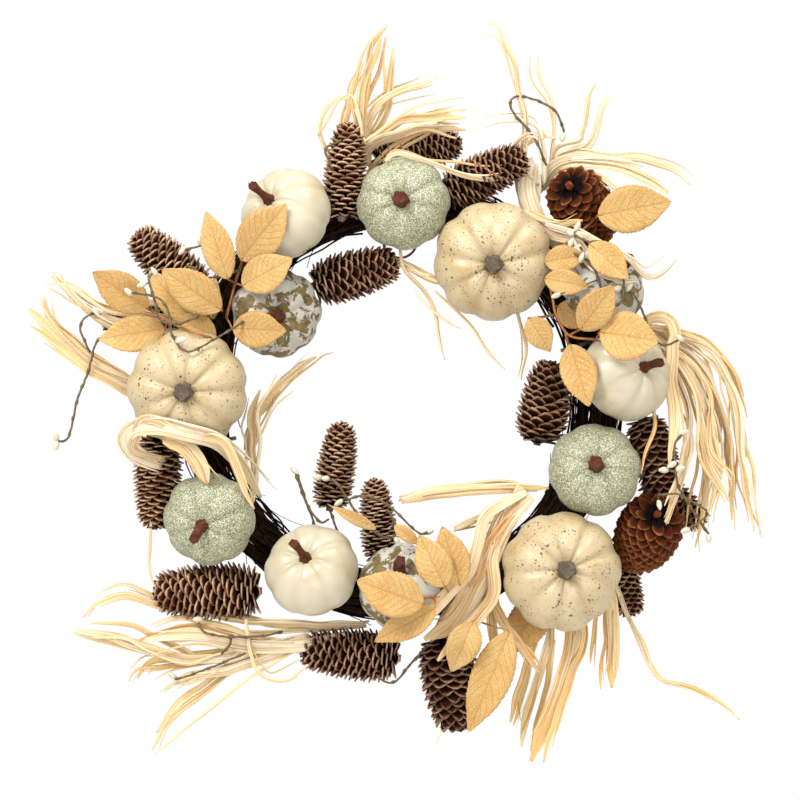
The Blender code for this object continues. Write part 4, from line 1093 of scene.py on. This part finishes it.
# ---- leaves ----
# spray: moulded stems as way points (mm), then leaves as base, tip, width, front at base and tip (mm)
LEAVES = {
    "leaf_spray_upper_left": (
        (((-118, 104), (-123, 88), (-130, 62)),),
        (
            ((-128, 90), (-144, 140), 23, 62, 70), ((-118, 104), (-83, 144), 32, 66, 92),
            ((-117, 85), (-79, 104), 28, 66, 84), ((-124, 53), (-84, 51), 27, 66, 78),
        ),
    ),
    "leaf_spray_left": (
        (((-140, 46), (-165, 55), (-188, 68)), ((-150, 56), (-142, 72), (-133, 67))),
        (
            ((-188, 68), (-228, 95), 28, 56, 66), ((-133, 67), (-177, 97), 29, 62, 70),
            ((-153, 57), (-188, 97), 24, 46, 48), ((-140, 61), (-138, 93), 10, 50, 56),
            ((-176, 53), (-225, 45), 27, 46, 58), ((-138, 46), (-168, 63), 22, 50, 50),
        ),
    ),
    "leaf_spray_right": (
        (((146, 136), (133, 124), (118, 111), (111, 92), (114, 73), (116, 64), (126, 48), (146, 45)),
         ((116, 64), (106, 62), (96, 61)), ((124, 50), (126, 41)), ((126, 48), (133, 52))),
        (
            ((146, 136), (200, 146), 34, 78, 86), ((107, 102), (137, 107), 20, 70, 74),
            ((107, 90), (139, 83), 19, 74, 82), ((140, 115), (168, 89), 23, 80, 88),
            ((118, 70), (144, 57), 22, 50, 50), ((133, 52), (157, 84), 26, 80, 92),
            ((147, 50), (190, 43), 36, 82, 92), ((126, 41), (139, -5), 27, 74, 84),
            ((96, 61), (112, 36), 20, 62, 58),
        ),
    ),
    "leaf_spray_bottom": (
        (((17, -146), (29, -145), (38, -143), (52, -130)), ((38, -143), (50, -155), (54, -164))),
        (
            ((17, -150), (-32, -132), 33, 90, 96), ((33, -137), (14, -99), 26, 88, 92),
            ((44, -136), (31, -93), 26, 86, 84), ((26, -153), (-19, -179), 22, 74, 66),
            ((54, -164), (38, -202), 25, 74, 66), ((81, -172), (51, -248), 30, 66, 60),
            ((-18, -96), (-51, -79), 9, 60, 60), ((-4, -93), (15, -107), 10, 70, 74),
            ((112, -146), (78, -194), 30, 30, 26), ((74, -138), (22, -180), 26, 50, 44),
        ),
    ),
}
LEAF_ROWS = 72
LEAF_ACROSS = 8
LEAF_THICKNESS = 0.00045       # m
LEAF_TEETH = 18
LEAF_CLEAR = 1.2               # mm between a leaf's middle and what it lies on
LEAF_LIFTS = 6                 # how often a leaf is raised off what it lies on
STEM_LOW = 48.0                # lowest front of a moulded stem, mm
STEM_CLEAR = 2.4
LONGEST_STALK = 45             # mm; a leaf further from its stem is glued on by itself


def leaf_half_width(t):
    """Half width of a leaf as a share of its width, with a toothed edge."""
    body = math.sin(math.pi * t ** 0.80) ** 0.74 * (1.0 - 0.30 * max(0.0, (t - 0.72) / 0.28))
    tooth = 0.060 * (1.0 - (t * LEAF_TEETH) % 1.0) * math.sin(math.pi * t) ** 0.5
    return 0.5 * max(0.0, body * 0.98 + tooth)


def add_leaf(spray_bm, layers, base, tip, width, low, high, chance):
    """A folded, arched leaf, lifted off what is below it; gives back the front of its base and tip (mm)."""
    uv_layer, tone_layer = layers
    base, tip = Vector(base), Vector(tip)
    onward = tip - base
    length = onward.length
    onward.normalize()
    aside = Vector((-onward.y, onward.x))
    fold = chance.uniform(0.10, 0.26)
    arch = chance.uniform(0.03, 0.10) * length
    roll = math.radians(chance.uniform(-16, 16))
    droop = chance.uniform(-0.10, 0.06) * length
    wave = chance.uniform(0.0, math.tau)
    tone = chance.uniform(0.0, 0.8)

    def relief(t, side):
        half = leaf_half_width(t) * width
        height = arch * math.sin(math.pi * t) + droop * t * t + math.sin(roll) * side * half
        height += fold * abs(side) * half + 0.5 * math.sin(wave + 6 * t + 2.2 * side) * abs(side)
        return height

    for _ in range(LEAF_LIFTS if low > 50 else 0):
        for t in (0.0, 0.15, 0.3, 0.45, 0.6, 0.75, 0.9, 1.0):
            for side in (-1.0, -0.5, 0.0, 0.5, 1.0):
                half = leaf_half_width(t) * width
                spot = base + onward * (t * length) + aside * (side * half)
                below = front_at(spot.x, spot.y)
                if below is None:
                    continue
                lack = below + LEAF_CLEAR - (low + (high - low) * t + relief(t, side))
                if lack > 0.0:
                    share = (1 - t) ** 2 + t ** 2
                    low += lack * (1 - t) / share * 0.7
                    high += lack * t / share * 0.7
    verts = bmesh.ops.create_grid(spray_bm, x_segments=LEAF_ACROSS, y_segments=LEAF_ROWS, size=0.5)["verts"]
    cover(verts, uv_layer, lambda flat: (flat.x + 0.5, flat.y + 0.5))
    for vert in verts:
        side, t = 2.0 * vert.co.x, vert.co.y + 0.5
        half = max(0.35, leaf_half_width(t) * width) if t < 0.985 else 0.15
        spot = base + onward * (t * length) + aside * (side * half)
        vert.co = world(spot.x, spot.y, low + (high - low) * t + relief(t, side))
        vert[tone_layer] = tone
    return low, high


def make_leaves():
    """The sprays: moulded stems laid over the pumpkins, leaves, and a stalk to each leaf that is near."""
    for number, (spray, (stems, leaves)) in enumerate(LEAVES.items()):
        chance = random.Random(70 + number)
        spray_bm = bmesh.new()
        layers = (spray_bm.loops.layers.uv.new("UVMap"), spray_bm.verts.layers.float.new("tone"))
        runs = []
        stem_points = []
        for stem in stems:
            flat = curve_through([Vector(point) for point in stem], 3.0)
            heights = laid_over(flat, [STEM_LOW] * len(flat), 1.0, STEM_CLEAR)
            points = [Vector((point.x, point.y, height)) for point, height in zip(flat, heights)]
            stem_points += points
            runs.append(run_of(points, [1.0] * len(points)))
        for base, tip, width, low, high in leaves:
            low, high = add_leaf(spray_bm, layers, base, tip, width, low, high, chance)
            root = min(stem_points, key=lambda point: (point.xy - Vector(base)).length)
            foot = Vector((*base, low))
            inner = Vector((*Vector(base).lerp(Vector(tip), 0.16), low + 0.16 * (high - low) + 0.3))
            way = curve_through([root, root.lerp(foot, 0.6) + Vector((0, 0, 1.5)), foot, inner], 2.5)
            if (root - foot).length < LONGEST_STALK:
                runs.append(run_of(way, [0.85 - 0.45 * step / len(way) for step in range(len(way))]))
        piece = make_piece(spray.replace("leaf_spray", "fabric_leaves"), spray_bm, LEAF, (spray,))
        thicken(piece, LEAF_THICKNESS)
        wires(spray.replace("leaf_spray", "leaf_stems"), runs, LEAF_STEM)


# ---- berry vines ----
# vines as lowest front (mm), then way points (mm)
VINES = (
    (70, (-201, 80), (-196, 79), (-178, 75), (-170, 63), (-168, 49), (-161, 38), (-152, 36), (-135, 46),
     (-123, 53), (-109, 63)),
    (70, (-182, 95), (-186, 89), (-181, 72), (-178, 60), (-167, 56), (-156, 59), (-149, 63)),
    (60, (-159, 100), (-150, 95), (-142, 79), (-138, 60)),
    (60, (-162, 111), (-141, 115), (-127, 107)), (60, (-153, 91), (-134, 92), (-119, 97)),
    (40, (-226, 66), (-236, 62), (-240, 53), (-233, 36)),
    (40, (-222, 48), (-228, 43), (-234, 21), (-242, 0), (-249, -28), (-258, -31)),
    (75, (126, 123), (129, 122), (138, 117), (149, 117), (159, 111), (164, 98), (165, 83), (163, 72),
     (157, 71), (149, 81), (144, 95), (137, 103), (122, 112)),
    (60, (165, 83), (173, 78), (179, 67), (185, 52), (191, 43), (199, 41), (208, 45)),
    (60, (211, -24), (204, -34), (205, -53), (207, -65), (213, -74), (222, -89), (230, -100)),
    (60, (192, -71), (201, -70), (209, -71), (228, -83), (222, -91), (213, -97)),
    (40, (-79, -53), (-72, -73), (-65, -86), (-59, -92), (-53, -89)),
    (40, (-51, -59), (-44, -67), (-39, -75), (-32, -85), (-22, -97), (-14, -102), (-6, -104), (-3, -98),
     (-5, -90), (-10, -82)),
    (60, (-38, -74), (-29, -71), (-19, -73), (-9, -78), (1, -87), (14, -99), (22, -98)),
    (40, (110, 176), (100, 198), (86, 214), (83, 224), (90, 228), (107, 223), (117, 216), (123, 202)),
    (40, (-171, -207), (-166, -209), (-143, -201), (-116, -190)),
    (38, (-152, -165), (-147, -174), (-128, -178), (-103, -177), (-88, -174)),
    (38, (-134, -191), (-128, -184), (-126, -176)), (35, (-50, 172), (-56, 188), (-45, 194), (-36, 201)),
    (20, (-53, -84), (-50, -92), (-46, -103), (-38, -120)), (20, (-79, -53), (-70, -80), (-60, -110)),
    (24, (-17, -120), (-12, -132), (-8, -142)),
    (30, (24, -182), (8, -199), (-2, -211), (-10, -213), (-18, -207)),
)
# places of the berries (mm), each at the end of a short stalk from the nearest vine
BERRIES = (
    (-201, 80), (-109, 65), (-161, 44), (-182, 95), (-191, 85), (-162, 111), (-127, 107), (-148, 118),
    (-258, -28), (-258, -34), (-228, 66),
    (126, 123), (126, 116), (139, 108), (134, 105), (155, 95), (160, 82), (169, 83), (115, 77), (131, 128),
    (208, 46), (212, -97), (211, -24), (196, -52), (202, -48), (208, -51), (193, -78), (230, -103),
    (-79, -53), (-62, -58), (-56, -59), (-46, -77), (22, -98), (-2, -106), (122, 197), (-171, -207),
    (-152, -165),
)


VINE_WIRE = 0.85               # radii, mm
VINE_KNOT = 0.55               # what a knot adds
VINE_LIES = 24                 # a vine lower than this front (mm) runs behind the pieces
BERRY_STALK = (0.6, 0.6, 0.5)
BERRY_CLEAR = 2.5
BERRY_TAPER = 0.25             # how much narrower a berry's tip is


def make_vines():
    """Wiry vines laid over the pieces, with rice-shaped berries on short stalks."""
    chance = random.Random(91)
    runs = []
    places = []
    for front, *way in VINES:
        flat = curve_through([Vector(point) for point in way], 2.5)
        lows = [front + 3.0 * math.sin(0.35 * number) for number in range(len(flat))]
        heights = laid_over(flat, lows, 1.0, STRIP_CLEAR) if front > VINE_LIES else lows
        points = [Vector((point.x + chance.uniform(-0.3, 0.3), point.y + chance.uniform(-0.3, 0.3), height))
                  for point, height in zip(flat, heights)]
        places += points
        radii = [VINE_WIRE + (VINE_KNOT if number % 5 == 2 else 0.0) + chance.uniform(-0.1, 0.1)
                 for number in range(len(points))]
        runs.append(run_of(points, radii))
    berry_bm = bmesh.new()
    for spot in BERRIES:
        near = min(places, key=lambda point: (point.xy - Vector(spot)).length)
        below = front_at(*spot)
        height = near.z + chance.uniform(0, 2)
        centre = Vector((*spot, height if below is None else max(height, below + BERRY_CLEAR)))
        runs.append(run_of((near, near.lerp(centre, 0.5), centre), BERRY_STALK))
        fresh = bmesh.ops.create_uvsphere(berry_bm, u_segments=12, v_segments=8, radius=1.0)["verts"]
        long = chance.uniform(3.6, 4.6)
        thick = chance.uniform(2.1, 2.6)
        for vert in fresh:
            vert.co.x *= 1.0 - BERRY_TAPER * max(0.0, vert.co.z)
            vert.co.y *= 1.0 - BERRY_TAPER * max(0.0, vert.co.z)
        size = Matrix.Diagonal((thick * MM, thick * MM, long * MM, 1.0))
        way = centre - near
        turn = heading(chance.uniform(0, math.tau) if way.length < 2 else math.atan2(way.y, way.x), 0.3)
        bmesh.ops.transform(berry_bm, matrix=turned_to(turn, world(*centre)) @ size, verts=fresh)
    wires("berry_vines", runs, VINE, roundness=1)
    make_piece("cream_berries", berry_bm, BERRY)


# ---- camera, light and floor ----
LENS = 129.4                   # mm, on a 36 mm sensor
SENSOR = 36.0
CAMERA_AWAY = 2.2              # m
FLOOR_RADIUS = 4.0             # m
FLOOR_DROP = 0.85              # how far the floor is below the wreath, m
# soft boxes: place from the ring's middle, size (m), power (W)
SOFT_BOXES = {"key_light": ((-1.1, -1.5, 1.3), 0.9, 60.0), "top_light": ((0.6, -0.6, 1.7), 1.0, 28.0),
              "front_light": ((0.8, -2.4, 0.2), 1.2, 22.0)}


def make_stage():
    camera_data = bpy.data.cameras.new("camera")
    camera_data.lens = LENS
    camera_data.sensor_width = SENSOR
    camera = bpy.data.objects.new("camera", camera_data)
    bpy.context.scene.collection.objects.link(camera)
    camera.location = RING_MIDDLE + Vector((0.0, -CAMERA_AWAY, 0.0))
    camera.rotation_euler = (math.radians(90), 0.0, 0.0)
    bpy.context.scene.camera = camera

    floor_bm = bmesh.new()
    bmesh.ops.create_circle(floor_bm, cap_ends=True, segments=96, radius=FLOOR_RADIUS)
    bmesh.ops.translate(floor_bm, verts=floor_bm.verts, vec=(0.0, 0.0, CAD_BOX[0][2] - FLOOR_DROP))
    mesh = bpy.data.meshes.new("floor")
    floor_bm.to_mesh(mesh)
    floor_bm.free()
    floor = bpy.data.objects.new("floor", mesh)
    bpy.context.scene.collection.objects.link(floor)
    pale = Finish("pale_floor", roughness=0.9)
    pale.feed("Base Color", pale.ramp(pale.noise(3.0), (0.3, (0.92, 0.92, 0.92)), (0.7, (0.95, 0.95, 0.95))))
    mesh.materials.append(pale.material)

    sky = bpy.data.worlds.new("studio")
    bpy.context.scene.world = sky
    sky.use_nodes = True
    background = sky.node_tree.nodes["Background"]
    background.inputs["Color"].default_value = (1.0, 1.0, 1.0, 1.0)
    background.inputs["Strength"].default_value = 1.0
    for name, (spot, size, power) in SOFT_BOXES.items():
        light_data = bpy.data.lights.new(name, "AREA")
        light_data.energy = power
        light_data.size = size
        light = bpy.data.objects.new(name, light_data)
        bpy.context.scene.collection.objects.link(light)
        light.location = RING_MIDDLE + Vector(spot)
        light.rotation_euler = (RING_MIDDLE - light.location).to_track_quat("-Z", "Y").to_euler()
    bpy.context.scene.view_settings.view_transform = "Standard"


make_stage()
for number, node in enumerate(sorted(frame["nodes"])):
    if node.startswith("pumpkin"):
        make_pumpkin(node, number)
pattern = scale_mesh()
for number, node in enumerate(sorted(frame["nodes"])):
    if node.startswith("cone"):
        make_cone(node, pattern, number)
bpy.data.meshes.remove(pattern)
make_twigs()
make_wire_work()
make_raffia()
make_leaves()
make_vines()
